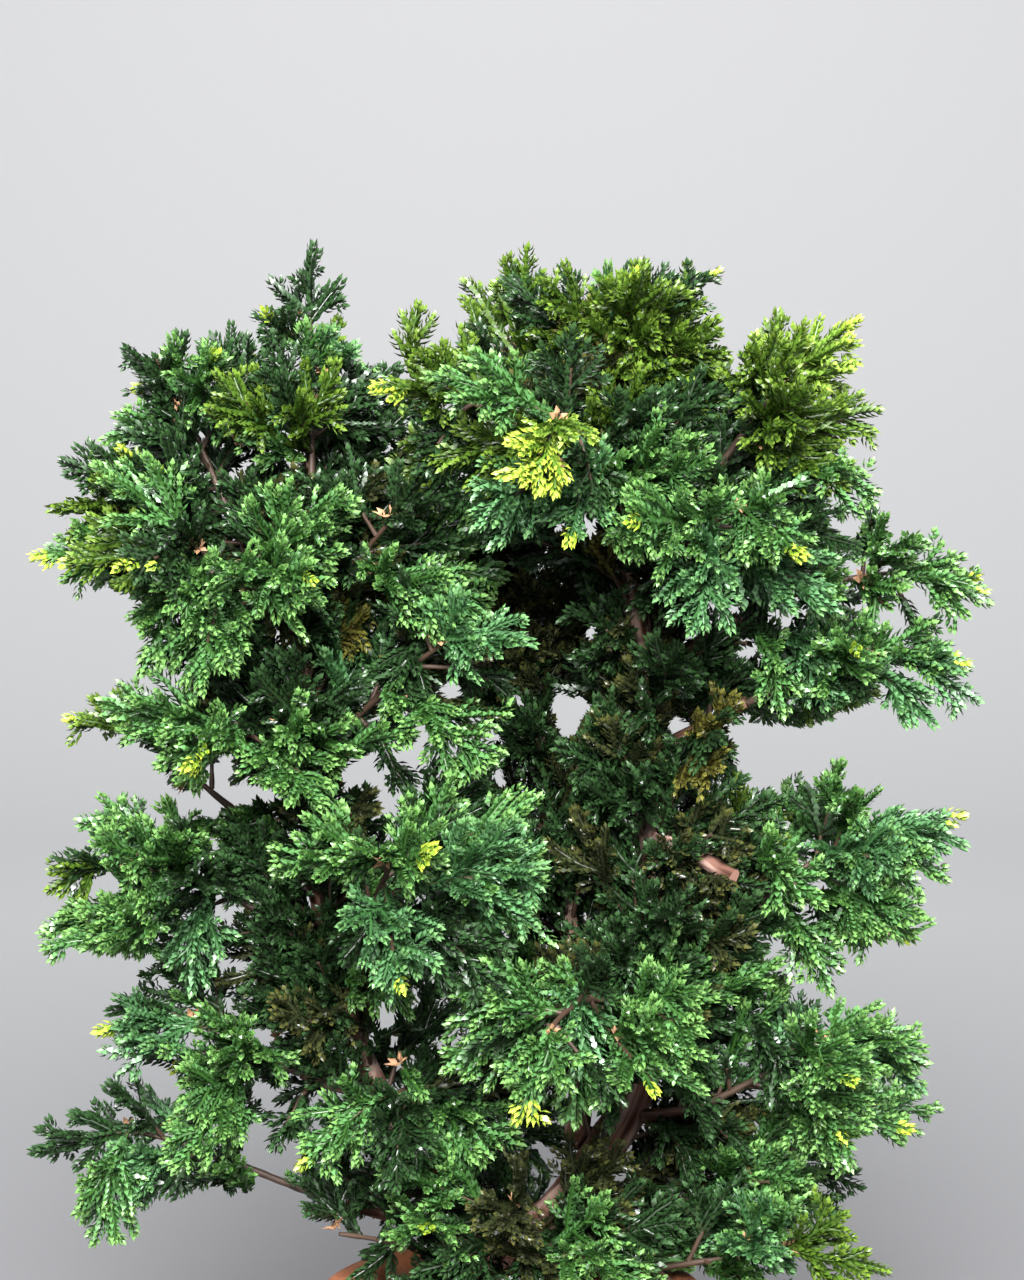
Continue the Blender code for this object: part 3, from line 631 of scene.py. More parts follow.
sprayPlan = {  # mm and degrees along the fan's plane, or shares
    "wave": (0.01, 0.035), "wavePhase": (0, 6.28), "waveTurn": 5,  # of the main shoot
    "firstShoot": 2.6, "firstChange": (0.7, 1.2),
    "shootGap": 2.4, "gapChange": (0.85, 1.15),  # side shoots left and right in turn
    "lastShoot": 1.5, "openAngle": (50, 30), "openChange": 6,  # off the main shoot, foot to tip
    "bend": 16,  # how far a side shoot turns forward on its way out
    "lift": (4, 26), "sink": 0.4,  # how far it stands out of the fan, up and down in turn
    "littleFirst": 4.5, "littleFirstChange": (0.8, 1.2), "littleGap": 5.0, "littleLast": 1.0,
    "littleAngle": 38, "littleChange": 7, "littleLength": (3.6, 6.0),
    "littleShortening": (1.1, 0.45), "littleLift": 45, "littleBend": 0.15, "littleRoom": 0.6,
    "shortest": 2.0, "tipRoom": 1.8, "pointGap": 3.2, "probe": 0.5, "evenness": 0.68,
    "edge": ((0, 0.62), (25, 0.55), (50, 0.60), (75, 0.51), (100, 0.50), (140, 0.43),
             (180, 0.40)),  # the fan's edge: angle off its axis, and distance from its middle
    "partners": ((1, 0.80), (-1, 0.70)),  # smaller fans beside each: which way they turn, size
    "partnerPitch": (22, 42), "partnerRoll": (55, 100), "partnerChance": (1.0, 0.6),
    "partnerBack": 1.0 * mm, "innerPartners": 0.5,
    "newTips": 0.3, "newTipLength": 3.6 * mm, "newTipBack": 15 * mm, "tipShootShare": 0.8,
    "twigShoots": (0.28, 0.52, 0.76), "limbGap": 1.2 * mm, "touch": 0.05 * mm, "seed": 11,
}
tonePlan = {  # body, leaf tip, young body and young leaf tip of each green; the paler, bluer leaf tips are partly the points' own lighter green and partly painted highlight
    "deep": ("#162810", "#254020", "#1c3216", "#304c28"),
    "middle": ("#2a4c1c", "#4e7a44", "#385c24", "#668e4c"),
    "bright": ("#2c440c", "#425c1a", "#385010", "#5c7626"),
    "fresh": ("#48661c", "#668432", "#5e7a24", "#829c3e"),
    "blue": ("#2c5028", "#507a4e", "#3a5e2e", "#628c56"),
    "old": ("#222814", "#363c1e", "#2c3016", "#464820"),
    "dry": ("#423f16", "#5a5924", "#484619", "#66652a"),
}
yellowPlan = ("#728f2a", "#adc044")  # new growth at the tips: body and leaf tip
youngLength = {"deep": 1.2, "middle": 1.8, "bright": 2.6, "fresh": 4.0, "blue": 1.4, "old": 0.6,
               "dry": 0.6}


def outlineReach(angle):
    # distance of the fan's edge from its middle, as a share of its length
    angle = abs(math.degrees(angle))
    for (a0, s0), (a1, s1) in zip(sprayPlan["edge"], sprayPlan["edge"][1:]):
        if angle <= a1:
            return s0 + (s1 - s0) * (angle - a0) / (a1 - a0)
    return sprayPlan["edge"][-1][1]


def roomAhead(place, heading, length, middle):
    # how far a shoot can run before it leaves the fan's outline, all in mm
    step, gone = sprayPlan["probe"], 0.0
    while gone < length:
        u = place[0] + math.cos(heading) * (gone + step) - middle
        v = place[1] + math.sin(heading) * (gone + step)
        if math.hypot(u, v) > outlineReach(math.atan2(v, u)) * length:
            break
        gone += step
    return gone


def flatShoot(place, heading, lift, length, bend):
    steps = max(1, round(length / sprayPlan["pointGap"]))
    u, v, w = place
    points = [place]
    for i in range(steps):
        turn = heading - math.copysign(bend, heading) * (i + 0.5) / steps
        rise = lift * (1 - sprayPlan["sink"] * i / steps)
        step = length / steps
        u += math.cos(turn) * math.cos(rise) * step
        v += math.sin(turn) * math.cos(rise) * step
        w += math.sin(rise) * step
        points.append((u, v, w))
    return points


def alongShoot(points, gone):
    for a, b in zip(points, points[1:]):
        step = math.dist(a, b)
        if gone <= step:
            return tuple(x + (y - x) * gone / step for x, y in zip(a, b))
        gone -= step
    return points[-1]


def littleShoots(side, turn, angle, lift, long, length, rng):
    # in turn left and right of a side shoot
    plan, shoots = sprayPlan, []
    most, less = plan["littleShortening"]
    out, way = plan["littleFirst"] * rng.uniform(*plan["littleFirstChange"]), turn
    while out < long - plan["littleLast"]:
        spot = alongShoot(side, out)
        head = turn * angle + way * math.radians(
            plan["littleAngle"] + rng.uniform(-plan["littleChange"], plan["littleChange"]))
        space = (roomAhead(spot, head, length, fanPlan["root"] * length)
                 - plan["tipRoom"] * plan["littleRoom"])
        little = min(rng.uniform(*plan["littleLength"]) * (most - less * out / long), space)
        if little > plan["shortest"]:
            lean = math.radians(rng.uniform(-plan["littleLift"], plan["littleLift"]))
            shoots.append((flatShoot(spot, head, lift + lean, little, plan["littleBend"]), 2))
        out += plan["littleGap"] * rng.uniform(*plan["gapChange"])
        way = -way
    return shoots


def fillFan(length, rng):
    # the shoots of one fan in its own flat frame, in mm: (points, order)
    plan = sprayPlan
    middle = fanPlan["root"] * length
    wave, phase = rng.uniform(*plan["wave"]) * length, rng.uniform(*plan["wavePhase"])
    end = (fanPlan["root"] + fanPlan["lobes"][0][1]) * length - plan["tipRoom"]
    steps = max(4, math.ceil(end / plan["pointGap"]))
    main = [(end * i / steps,
             wave * (math.sin(phase + plan["waveTurn"] * i / steps) - math.sin(phase)), 0.0)
            for i in range(steps + 1)]
    shoots = [(main, 0)]
    gone, turn = plan["firstShoot"] * rng.uniform(*plan["firstChange"]), rng.choice((-1, 1))
    rise = rng.choice((-1, 1))
    while gone < end - plan["lastShoot"]:
        place = alongShoot(main, gone)
        angle = math.radians(between(*plan["openAngle"], gone / end)
                             + rng.uniform(-plan["openChange"], plan["openChange"]))
        room = roomAhead(place, turn * angle, length, middle)
        long = room * rng.uniform(plan["evenness"], 1.0) - plan["tipRoom"]
        if long > plan["shortest"]:
            lift = rise * math.radians(rng.uniform(*plan["lift"]))
            side = flatShoot(place, turn * angle, lift, long, math.radians(plan["bend"]))
            shoots.append((side, 1))
            shoots += littleShoots(side, turn, angle, lift, long, length, rng)
        gone += plan["shootGap"] * rng.uniform(*plan["gapChange"])
        turn = -turn
        if turn > 0:
            rise = -rise
    return shoots


def placeShoot(fan, points):
    # from the fan's flat frame to its place on the plant, with the fan's cup
    side = fan["axis"].cross(fan["face"])
    length = fan["length"]
    middle = fanPlan["root"] * length
    placed = []
    for u, v, w in points:
        u, v, w = u * mm, v * mm, w * mm
        droop = fanPlan["cup"] * (max(u - middle, 0.0) ** 2 + v * v) / length
        placed.append(fan["root"] + fan["axis"] * u + side * v + fan["face"] * (w - droop))
    return placed


def partnerOf(fan, turn, size, rng):
    # a smaller fan from the same twig, turned out of the first one's plane
    side = fan["axis"].cross(fan["face"])
    pitch = math.radians(rng.uniform(*sprayPlan["partnerPitch"])) * turn
    roll = math.radians(rng.uniform(*sprayPlan["partnerRoll"])) * rng.choice((-1, 1))
    axis = Matrix.Rotation(pitch, 3, side) @ fan["axis"]
    face = Matrix.Rotation(roll, 3, axis) @ across(axis, fan["face"])
    return makeFan(fan["root"] - fan["axis"] * sprayPlan["partnerBack"], axis.normalized(), face,
                   fan["length"] * size)


viewPoint = Vector((0.0, -0.6844, 0.2913))  # the clearings and hollows are seen from here
hollowFront = -9 * mm  # only what stands in front of this stops at a hollow
raggedEdge = ((0.30, 3), (0.22, 7))  # of a clearing: how far it waves, and how often
clearings = (  # where the sky shows from the front: x, z, half width and half height in mm
    (-95, 237, 11, 7), (-65, 203, 3, 2.5), (-60, 196, 9, 3), (-69, 194, 7, 3), (-84, 199, 8, 4.5),
    (-34.5, 201, 5, 4), (69, 208, 19, 5), (79, 212, 11, 5), (92, 195, 9, 4), (80, 199, 5, 3),
    (88, 158.5, 9, 5), (-94, 156, 11, 4.5), (-91, 175.5, 2.5, 4), (-62, 156, 3, 2),
    (-56, 140, 5, 3), (-59, 129, 1.8, 2.5), (-79, 129, 4, 5), (-71, 98, 13, 7),
    (-43, 94, 4, 3), (-14, 302, 3.5, 6), (-34.5, 301, 4, 4), (51, 301, 4, 7),
    (-82, 299, 6, 3.5), (-88, 290, 5, 2.5), (91, 261, 7, 3.5), (76, 256.5, 4, 2.5),
    (18, 257, 3, 3), (10.5, 257, 2.5, 2), (62, 236, 4, 2.5), (54, 228, 4, 2.3),
    (29, 232.5, 1.8, 1.8), (40.5, 230, 2, 2), (18, 233, 2.3, 2.3), (-14, 220, 3.5, 3),
    (13, 214.5, 5, 5.5), (2, 217, 2, 2), (-3, 208.5, 2, 2), (-2.7, 200, 2, 2.3),
    (38, 211.5, 3.5, 2), (28, 214, 1.5, 1.5), (86, 237, 4, 3), (79, 239, 3, 2),
    (-39, 126, 1.7, 1.7), (82, 112, 4.5, 6), (-56, 104, 4.5, 8), (-40, 90, 6, 4), (-88, 233, 4, 4),
    (-29, 194, 3, 4.5), (53, 206, 3, 6), (86, 265, 4, 8),
)
hollows = (  # where the front masses part and show the inside, as above
    (14.5, 177, 9, 16), (49, 141, 5, 12), (32, 119, 7, 11), (-44, 170, 7, 8), (19, 222, 9, 9),
    (-30, 136, 8, 7),
)


def isClear(point):
    ahead = point - viewPoint
    seen = viewPoint - ahead * (viewPoint.y / ahead.y)
    for x, z, wide, high in clearings + hollows if point.y < hollowFront else clearings:
        right, above = (seen.x / mm - x) / wide, (seen.z / mm - z) / high
        angle = math.atan2(above, right)
        edge = sum((size * math.sin(times * angle + shift)
                    for (size, times), shift in zip(raggedEdge, (x, z))), 1)
        if right * right + above * above < edge:
            return True
    return False


def keptPoints(points):
    # a shoot stops where it would grow into a clearing
    for i, point in enumerate(points):
        if isClear(point):
            return points[:i]
    return points


def standsOn(point, line):
    return any((point - a).length + (point - b).length < (a - b).length + sprayPlan["touch"]
               for a, b in zip(line, line[1:]))


addedPlan = {"back": 5.0, "size": 0.8, "face": Vector((0, -0.7, 0.5)), "light": 0.3}
addedSprays = (  # more sprays at the rim: root x, y, z, the way they point, length in mm
    ((69, -6, 280), (1, 0, 0.3), 24), ((70, -16, 268), (1, -0.2, -0.2), 24),
    ((66, 4, 290), (1, 0.2, 0.4), 22), ((-84, 8, 108), (-1, 0, -0.5), 30),
    ((-92, 4, 109), (-0.35, 0, -1), 32), ((-97, 5, 166), (-1, 0, -0.2), 22),
    ((-88, 0, 268), (-1, 0, 0.35), 25), ((-88, 14, 185), (-1, 0.1, 0.25), 24),
    ((96, 2, 244), (1, 0, -0.3), 24), ((92, -12, 226), (1, 0, -0.5), 25),
    ((87, -15, 221), (0.8, 0, -0.8), 20), ((92, 0, 187), (1, 0, -0.25), 22),
    ((-67, 25, 293), (0.1, 0.1, 1), 20), ((-43, 22, 295), (0.25, 0, 1), 19),
    ((-22, 0, 297), (0.05, 0, 1), 20), ((2, 44, 309), (-0.2, 0, 1), 17),
    ((26, 42, 310), (0.3, 0, 1), 17), ((40, 22, 308), (0.1, 0, 1), 18),
    ((52, 18, 308), (0.3, 0, 1), 18), ((-83, -4, 139), (-1, 0, -0.1), 20),
    ((86, 0, 181), (1, 0, -0.3), 25), ((-50, -2, 286), (-0.2, -0.3, 1), 26),
    ((-46, -4, 282), (0.4, -0.3, 0.8), 25), ((-57, 0, 281), (-0.6, -0.3, 0.8), 25),
    ((65, -5, 165), (0.5, -0.3, -0.9), 26), ((-70, -10, 168), (-0.2, -0.3, -1), 26),
    ((-88, 10, 172), (-0.8, -0.2, -0.5), 26), ((-56, -8, 100), (-0.2, -0.3, -1), 26),
    ((-22, -16, 229), (-0.4, -0.4, -0.8), 26), ((60, -12, 180), (0.5, -0.5, -0.3), 24),
    ((-66, 0, 111), (-0.6, 0, -0.9), 22), ((-82, 12, 276), (-0.9, 0, 0.5), 18),
    ((84, 0, 138), (1, 0, -0.3), 22), ((88, 2, 132), (0.9, 0, -0.6), 18),
    ((-99, 4, 177), (-1, 0, -0.5), 18), ((-99, 4, 167), (-1, 0, -0.2), 18),
    ((-84, 0, 146), (-1, 0, 0), 18), ((66, -10, 229), (0.5, -0.4, -0.7), 26),
    ((57, -12, 228), (0.2, -0.5, -0.7), 24), ((57, -14, 142), (0.4, -0.5, -0.8), 26),
    ((14, -36, 153), (0, -0.5, -0.85), 24),
)

stubPlan = {  # a bough cut short, in mm
    "line": ((33, 5, 184), (39, -1, 183), (45, -6, 181), (50, -10, 178.5)),
    "radii": (2.6, 2.2, 1.9, 2.0),
}
stubLimb = {"line": [Vector(point) * mm for point in stubPlan["line"]],
            "radii": [radius * mm for radius in stubPlan["radii"]]}


def addedFans():
    # each stands on the nearest shoot
    fans, plan = [], addedPlan
    face = plan["face"] + fanPlan["light"] * plan["light"]
    for root, way, length in addedSprays:
        axis = Vector(way).normalized()
        root = (Vector(root) - axis * plan["back"]) * mm
        start = min((point for part in parts.values() for point in part[1]["line"][1:]),
                    key=lambda point: (point - root).length)
        fans.append(dict(makeFan(root, axis, face, length * plan["size"] * mm), start=start))
    return fans


coverPlan = {"back": 8 * mm, "level": 150 * mm, "climb": 0.8, "ahead": 9 * mm, "beside": 15 * mm}


def coverOf(middle, middles):
    # how many sprays stand outside this one and keep the light off it; covered sprays are given
    # darker greens, as painted shade
    plan = coverPlan
    out = Vector((middle.x, middle.y - plan["back"],
                  max(middle.z - plan["level"], 0.0) * plan["climb"])).normalized()
    cover = 0
    for other in middles:
        ahead = (other - middle).dot(out)
        if ahead > plan["ahead"] and (other - middle - out * ahead).length < plan["beside"]:
            cover += 1
    return cover


def toneOf(name, fan, isTip, cover, draw):
    # the first place that fits and gives a tone for the draw counts
    x, y, z = (value / mm for value in fanMiddle(fan))
    isLeftTop, isTop = x < -45 and z > 235, z > 270 and cover < 2
    isBlue = name in ("left_bottom", "right_far", "front_branch")
    # the dark greens deep and old stand for the shade on covered sprays, inner sprays, the rear
    # top and the low middle: painted shade, besides the real olive of old inner foliage
    places = (  # a test, and the tones there with the draw below which each holds
        # inner sprays on stems, boughs and shoots: dark greens as painted shade, with the olive of
        # old foliage
        (name == "stem", (("old", 0.25), ("deep", 0.965), ("dry", 1))),
        (name == "bough" and cover > 1, (("deep", 0.965), ("dry", 1))),
        (name == "bough", (("deep", 0.7), ("middle", 0.965), ("dry", 1))),
        (name == "shoot" and cover > 1, (("deep", 1),)),
        (name == "shoot", (("deep", 0.7), ("middle", 1))),
        (name == "top_front" and isTip, (("fresh", 1),)),
        # sprays under cover of others: darker, as painted shade
        (cover > 2, (("old", 0.25), ("deep", 1))),
        (isLeftTop and (y > -5 or x < -85), (("bright", 0.42), ("deep", 0.85), ("middle", 1))),
        (isLeftTop, (("middle", 0.75), ("deep", 0.9), ("blue", 1))),
        # top sprays further back: darker, as painted shade
        (isTop and y > 12, (("bright", 0.5), ("deep", 1))),
        (isTop, (("bright", 0.82), ("fresh", 0.88), ("middle", 1))),
        # the more cover, the more dark green: painted shade
        (cover > 1, (("deep", 0.55),)),
        (cover > 0, (("deep", 0.3), ("middle", 0.55))),
        (isBlue and y < 0, (("blue", 0.5), ("middle", 1))),
        (isBlue, (("blue", 0.5), ("middle", 0.8), ("deep", 1))),
        # low in the middle, in the hollow: darker, as painted shade, with some old olive
        (abs(x) < 50 and z < 140, (("old", 0.12), ("deep", 0.62), ("middle", 1))),
        (x < -72, (("deep", 0.22),)),
        (True, (("middle", 0.76), ("bright", 0.82), ("blue", 1))),
    )
    return next(tone for fits, tones in places if fits for tone, limit in tones if draw < limit)


# mm of yellow new growth on the end fan of a branch
yellowTips = {"top_front": 40.0, "left_front_low": 4, "left_front": 4, "front_branch": 4,
              "front_drop": 5, "right_front": 4, "high_left": 4, "left_arm": 4, "left_small": 3,
              "left_tier": 3, "right_tier": 4, "right_low_arm": 4, "right_arm": 3,
              "top_front_left": 5, "left_mid_low": 3, "right_crest": 4}


def leafedTwig(fan, rods):
    # the outer part of a fan's twig is still green
    points = [fan["start"].lerp(fan["root"], share) for share in sprayPlan["twigShoots"]]
    if rods.gaps(points).min() < sprayPlan["limbGap"] or any(isClear(point) for point in points):
        return []
    return points


def grownShoots(fan, rods, rng):
    # the shoots of a fan that have room, each with its order
    shoots, whole = [], {}
    for flat, order in fillFan(fan["length"] / mm, rng):
        points = placeShoot(fan, flat)
        kept = keptPoints(points)
        if order and not standsOn(points[0], whole[order - 1]):
            kept = []
        whole[order] = kept
        if order == 0:
            fan["bare"] = len(kept) < 3
        if (len(kept) > 1 and rods.gaps(kept[1:]).min() >= sprayPlan["limbGap"]
                and clearOfPot(kept)):
            shoots.append((kept, order))
    return shoots


def yellowLength(name, points, order, fan, isTip, isNew):
    length = 0
    if isTip and (order == 0 or name == "top_front" or (points[-1] - fan["root"]).dot(
            fan["axis"]) > sprayPlan["tipShootShare"] * fan["length"]):
        length = yellowTips.get(name, 0) * mm
    return max(length, sprayPlan["newTipLength"]) if isNew and order == 0 else length


def shootLines():
    rng = random.Random(sprayPlan["seed"])
    rods = Rods([*stems.values(), stubLimb] + [part[0] for part in parts.values() if part[0]])
    lines = {tone: [] for tone in tonePlan}
    middles = [fanMiddle(fan) for fans in masses.values() for fan in fans]
    for name, fans in [*masses.items(), ("added", added), *inner.items()]:
        for number, fan in enumerate(fans):
            isTip = number == 0
            cover = coverOf(fanMiddle(fan), middles)
            tone = toneOf(name, fan, name in masses and isTip, cover, rng.random())
            isNew = cover == 0 and fan["root"].y < sprayPlan["newTipBack"] and name in masses
            isNew = isNew and rng.random() < sprayPlan["newTips"]
            group = [fan]
            for (turn, size), chance in zip(sprayPlan["partners"], sprayPlan["partnerChance"]):
                if rng.random() < chance * (sprayPlan["innerPartners"] if name in inner else 1):
                    group.append(partnerOf(fan, turn, size, rng))
            for part in group:
                for points, order in grownShoots(part, rods, rng):
                    isFirst = part is fan
                    if order == 0 and isFirst and name not in inner:
                        points = leafedTwig(fan, rods) + points
                    lines[tone].append({
                        "points": points, "order": order, "fan": part, "yellow": yellowLength(
                            name, points, order, part, isTip and isFirst, isNew and isFirst)})
    return lines


innerPlan = {  # short sprays on the stems, boughs and shoots themselves, behind the masses
    "stem": {"gap": 3.2, "from": 0.22, "twig": (3, 11), "fan": (19, 28), "slant": (15, 60)},
    "screen": {"gap": 5.0, "from": 0.30, "twig": (5, 12), "fan": (20, 28), "slant": (20, 55),
               "front": 65},
    "bough": {"gap": 3.2, "from": 0.30, "twig": (2, 7), "fan": (13, 20), "slant": (30, 70)},
    "shoot": {"gap": 7.0, "from": 0.03, "twig": (2, 8), "fan": (14, 20), "slant": (45, 80)},
    "end": 0.97, "gapChange": (0.7, 1.3), "firstTurn": (0, 6.28), "sunk": 0.3 * mm,
    "droop": (-0.6, 0.3), "facingUp": (0.1, 0.7), "light": 0.3, "seed": 21,
}


def fansAlong(limb, plan, rng):
    # short sprays round one limb, in turn by the golden angle
    line = limb["line"]
    total = lengthOf(line) / mm
    gone, turn, fans = total * plan["from"], rng.uniform(*innerPlan["firstTurn"]), []
    while gone < total * innerPlan["end"]:
        place = Vector(alongShoot([tuple(p / mm) for p in line], gone)) * mm
        near = min(range(len(line) - 1),
                   key=lambda i: (line[i].lerp(line[i + 1], 0.5) - place).length)
        slope = (line[near + 1] - line[near]).normalized()
        turn += fanPlan["goldenAngle"]
        spread = Matrix.Rotation(turn, 3, slope) @ across(slope, Vector((1, 0, 0)))
        if "front" in plan:
            aside = math.radians(rng.uniform(-plan["front"], plan["front"]))
            spread = Matrix.Rotation(aside, 3, slope) @ across(slope, Vector((0, -1, 0)))
        slant = math.radians(rng.uniform(*plan["slant"]))
        direction = slope * math.cos(slant) + spread * math.sin(slant)
        foot = place + spread * (limb["radii"][near] - innerPlan["sunk"])
        root = foot + direction * rng.uniform(*plan["twig"]) * mm
        axis = (direction + up * rng.uniform(*innerPlan["droop"])).normalized()
        face = (spread + up * rng.uniform(*innerPlan["facingUp"])
                + fanPlan["light"] * innerPlan["light"])
        fans.append(dict(makeFan(root, axis, face, rng.uniform(*plan["fan"]) * mm), start=foot))
        gone += plan["gap"] * rng.uniform(*innerPlan["gapChange"])
    return fans


def innerFans():
    rng = random.Random(innerPlan["seed"])
    fans = {"stem": [], "bough": [], "shoot": []}
    for limb in stems.values():
        fans["stem"] += fansAlong(limb, innerPlan["stem"], rng)
        fans["stem"] += fansAlong(limb, innerPlan["screen"], rng)
    for bough, shoot in parts.values():
        if bough:
            fans["bough"] += fansAlong(bough, innerPlan["bough"], rng)
        fans["shoot"] += fansAlong(shoot, innerPlan["shoot"], rng)
    return fans


inner = innerFans()
added = addedFans()
shootsOf = shootLines()
shootTotal = sum(lengthOf(line["points"]) for lines in shootsOf.values() for line in lines)
print("inner sprays:", {kind: len(fans) for kind, fans in inner.items()})
print("shoots:", sum(len(lines) for lines in shootsOf.values()), "of", round(shootTotal, 1), "m")


linePlan = {"roll": 0.5, "girth": (1.06, 1.02, 0.94), "girthChange": (0.92, 1.08),
            "taper": 0.14, "steepest": 0.95}


def lineMesh(name, lines):
    # shoots as bare lines with what the tree needs at each point
    verts, edges = [], []
    layers = {key: [] for key in ("along", "side", "size", "left", "gone", "yellow")}
    rng = random.Random(len(lines))
    for line in lines:
        points, face = line["points"], line["fan"]["face"]
        first = len(verts)
        total = lengthOf(points)
        roll = rng.uniform(-linePlan["roll"], linePlan["roll"])
        girth = linePlan["girth"][line["order"]] * rng.uniform(*linePlan["girthChange"])
        gone = 0.0
        for i, point in enumerate(points):
            slope = slopeAt(points, i)
            if i:
                gone += (point - points[i - 1]).length
                edges.append((first + i - 1, first + i))
            flat = across(slope, line["fan"]["axis"].cross(face))
            if abs(slope.dot(face)) < linePlan["steepest"]:
                flat = slope.cross(face).normalized()
            verts.append(point)
            for key, value in (
                    ("along", slope), ("side", Matrix.Rotation(roll, 3, slope) @ flat),
                    ("size", girth * (1.0 - linePlan["taper"] * gone / total)),
                    ("left", total - gone), ("gone", gone if line["order"] else 1.0),
                    ("yellow", line["yellow"])):
                layers[key].append(value)
    piece = newPiece(name, verts, [], edges=edges)
    setPoints(piece.data, **layers)
    return piece


# leaves: whorls of two side leaves and two face leaves, repeated along every shoot

leafPlan = {  # mm and degrees; a leaf is angle, length, width, ridge, curl and whether keeled
    "spacing": 1.4 * mm, "core": 0.40, "widest": 0.48, "curlShare": 0.6, "flatRidge": 0.6,
    "sideLeaf": (37, 3.0, 1.25, 0.40, -0.3, True), "faceLeaf": (25, 2.6, 1.38, 0.42, -0.2, False),
    "budSide": (26, 2.4, 1.35, 0.42, -0.2, True), "budFace": (14, 2.5, 1.30, 0.38, -0.1, True),
    "whorlStep": 0.75, "budStep": 0.3, "budReach": 0.4 * mm, "footGap": 0.9 * mm,
    "turn": 0.22, "tilt": 0.12, "sizes": (0.90, 1.12), "seed": 3,
    "whorlTriangles": 12 * 1.12, "pieceTriangles": 170000,
}


def leafFaces(shape, roll, lift=0.0):
    # a blade of four triangles with a keel, or of two, bent across, that opens outwards
    degrees, length, width, ridge, curl, isKeeled = shape
    out = Vector((math.cos(roll), math.sin(roll), 0.0))
    wide = Vector((-math.sin(roll), math.cos(roll), 0.0))
    angle = math.radians(degrees)
    along = out * math.sin(angle) + up * math.cos(angle)
    outer = out * math.cos(angle) - up * math.sin(angle)
    base = out * leafPlan["core"] + up * lift
    middle = base + along * length * leafPlan["widest"]
    half = wide * width / 2
    point = base + along * length + outer * curl * leafPlan["curlShare"]
    if isKeeled:
        verts = [base, middle - half, middle + outer * ridge, middle + half, point]
        faces = [(0, 2, 1), (0, 3, 2), (1, 2, 4), (2, 3, 4)]
    else:
        middle += outer * ridge * leafPlan["flatRidge"]
        verts = [base, middle - half, middle + half, point]
        faces = [(0, 2, 1), (1, 2, 3)]
    return [v * mm for v in verts], faces


def leafUnit(name, sideLeaf, faceLeaf, step):
    # a pair of side leaves, and a pair of face leaves across it and a step higher
    verts, faces, isTip = [], [], []
    for turn, shape, lift in ((0, sideLeaf, 0), (2, sideLeaf, 0), (1, faceLeaf, step),
                              (-1, faceLeaf, step)):
        leafVerts, leafTris = leafFaces(shape, turn * math.pi / 2, lift)
        faces += [tuple(i + len(verts) for i in face) for face in leafTris]
        verts += leafVerts
        isTip += [False] * (len(leafTris) // 2) + [True] * (len(leafTris) // 2)
    unit = newPiece(name, verts, faces)
    unit.data.attributes.new("tip", "BOOLEAN", "FACE").data.foreach_set("value", isTip)
    unit.data.shade_smooth()
    return unit


whorl = leafUnit("whorl", leafPlan["sideLeaf"], leafPlan["faceLeaf"], leafPlan["whorlStep"])
bud = leafUnit("bud", leafPlan["budSide"], leafPlan["budFace"], leafPlan["budStep"])
leafParts = ("leaf body", "leaf tip", "young body", "young tip", "yellow body", "yellow tip")


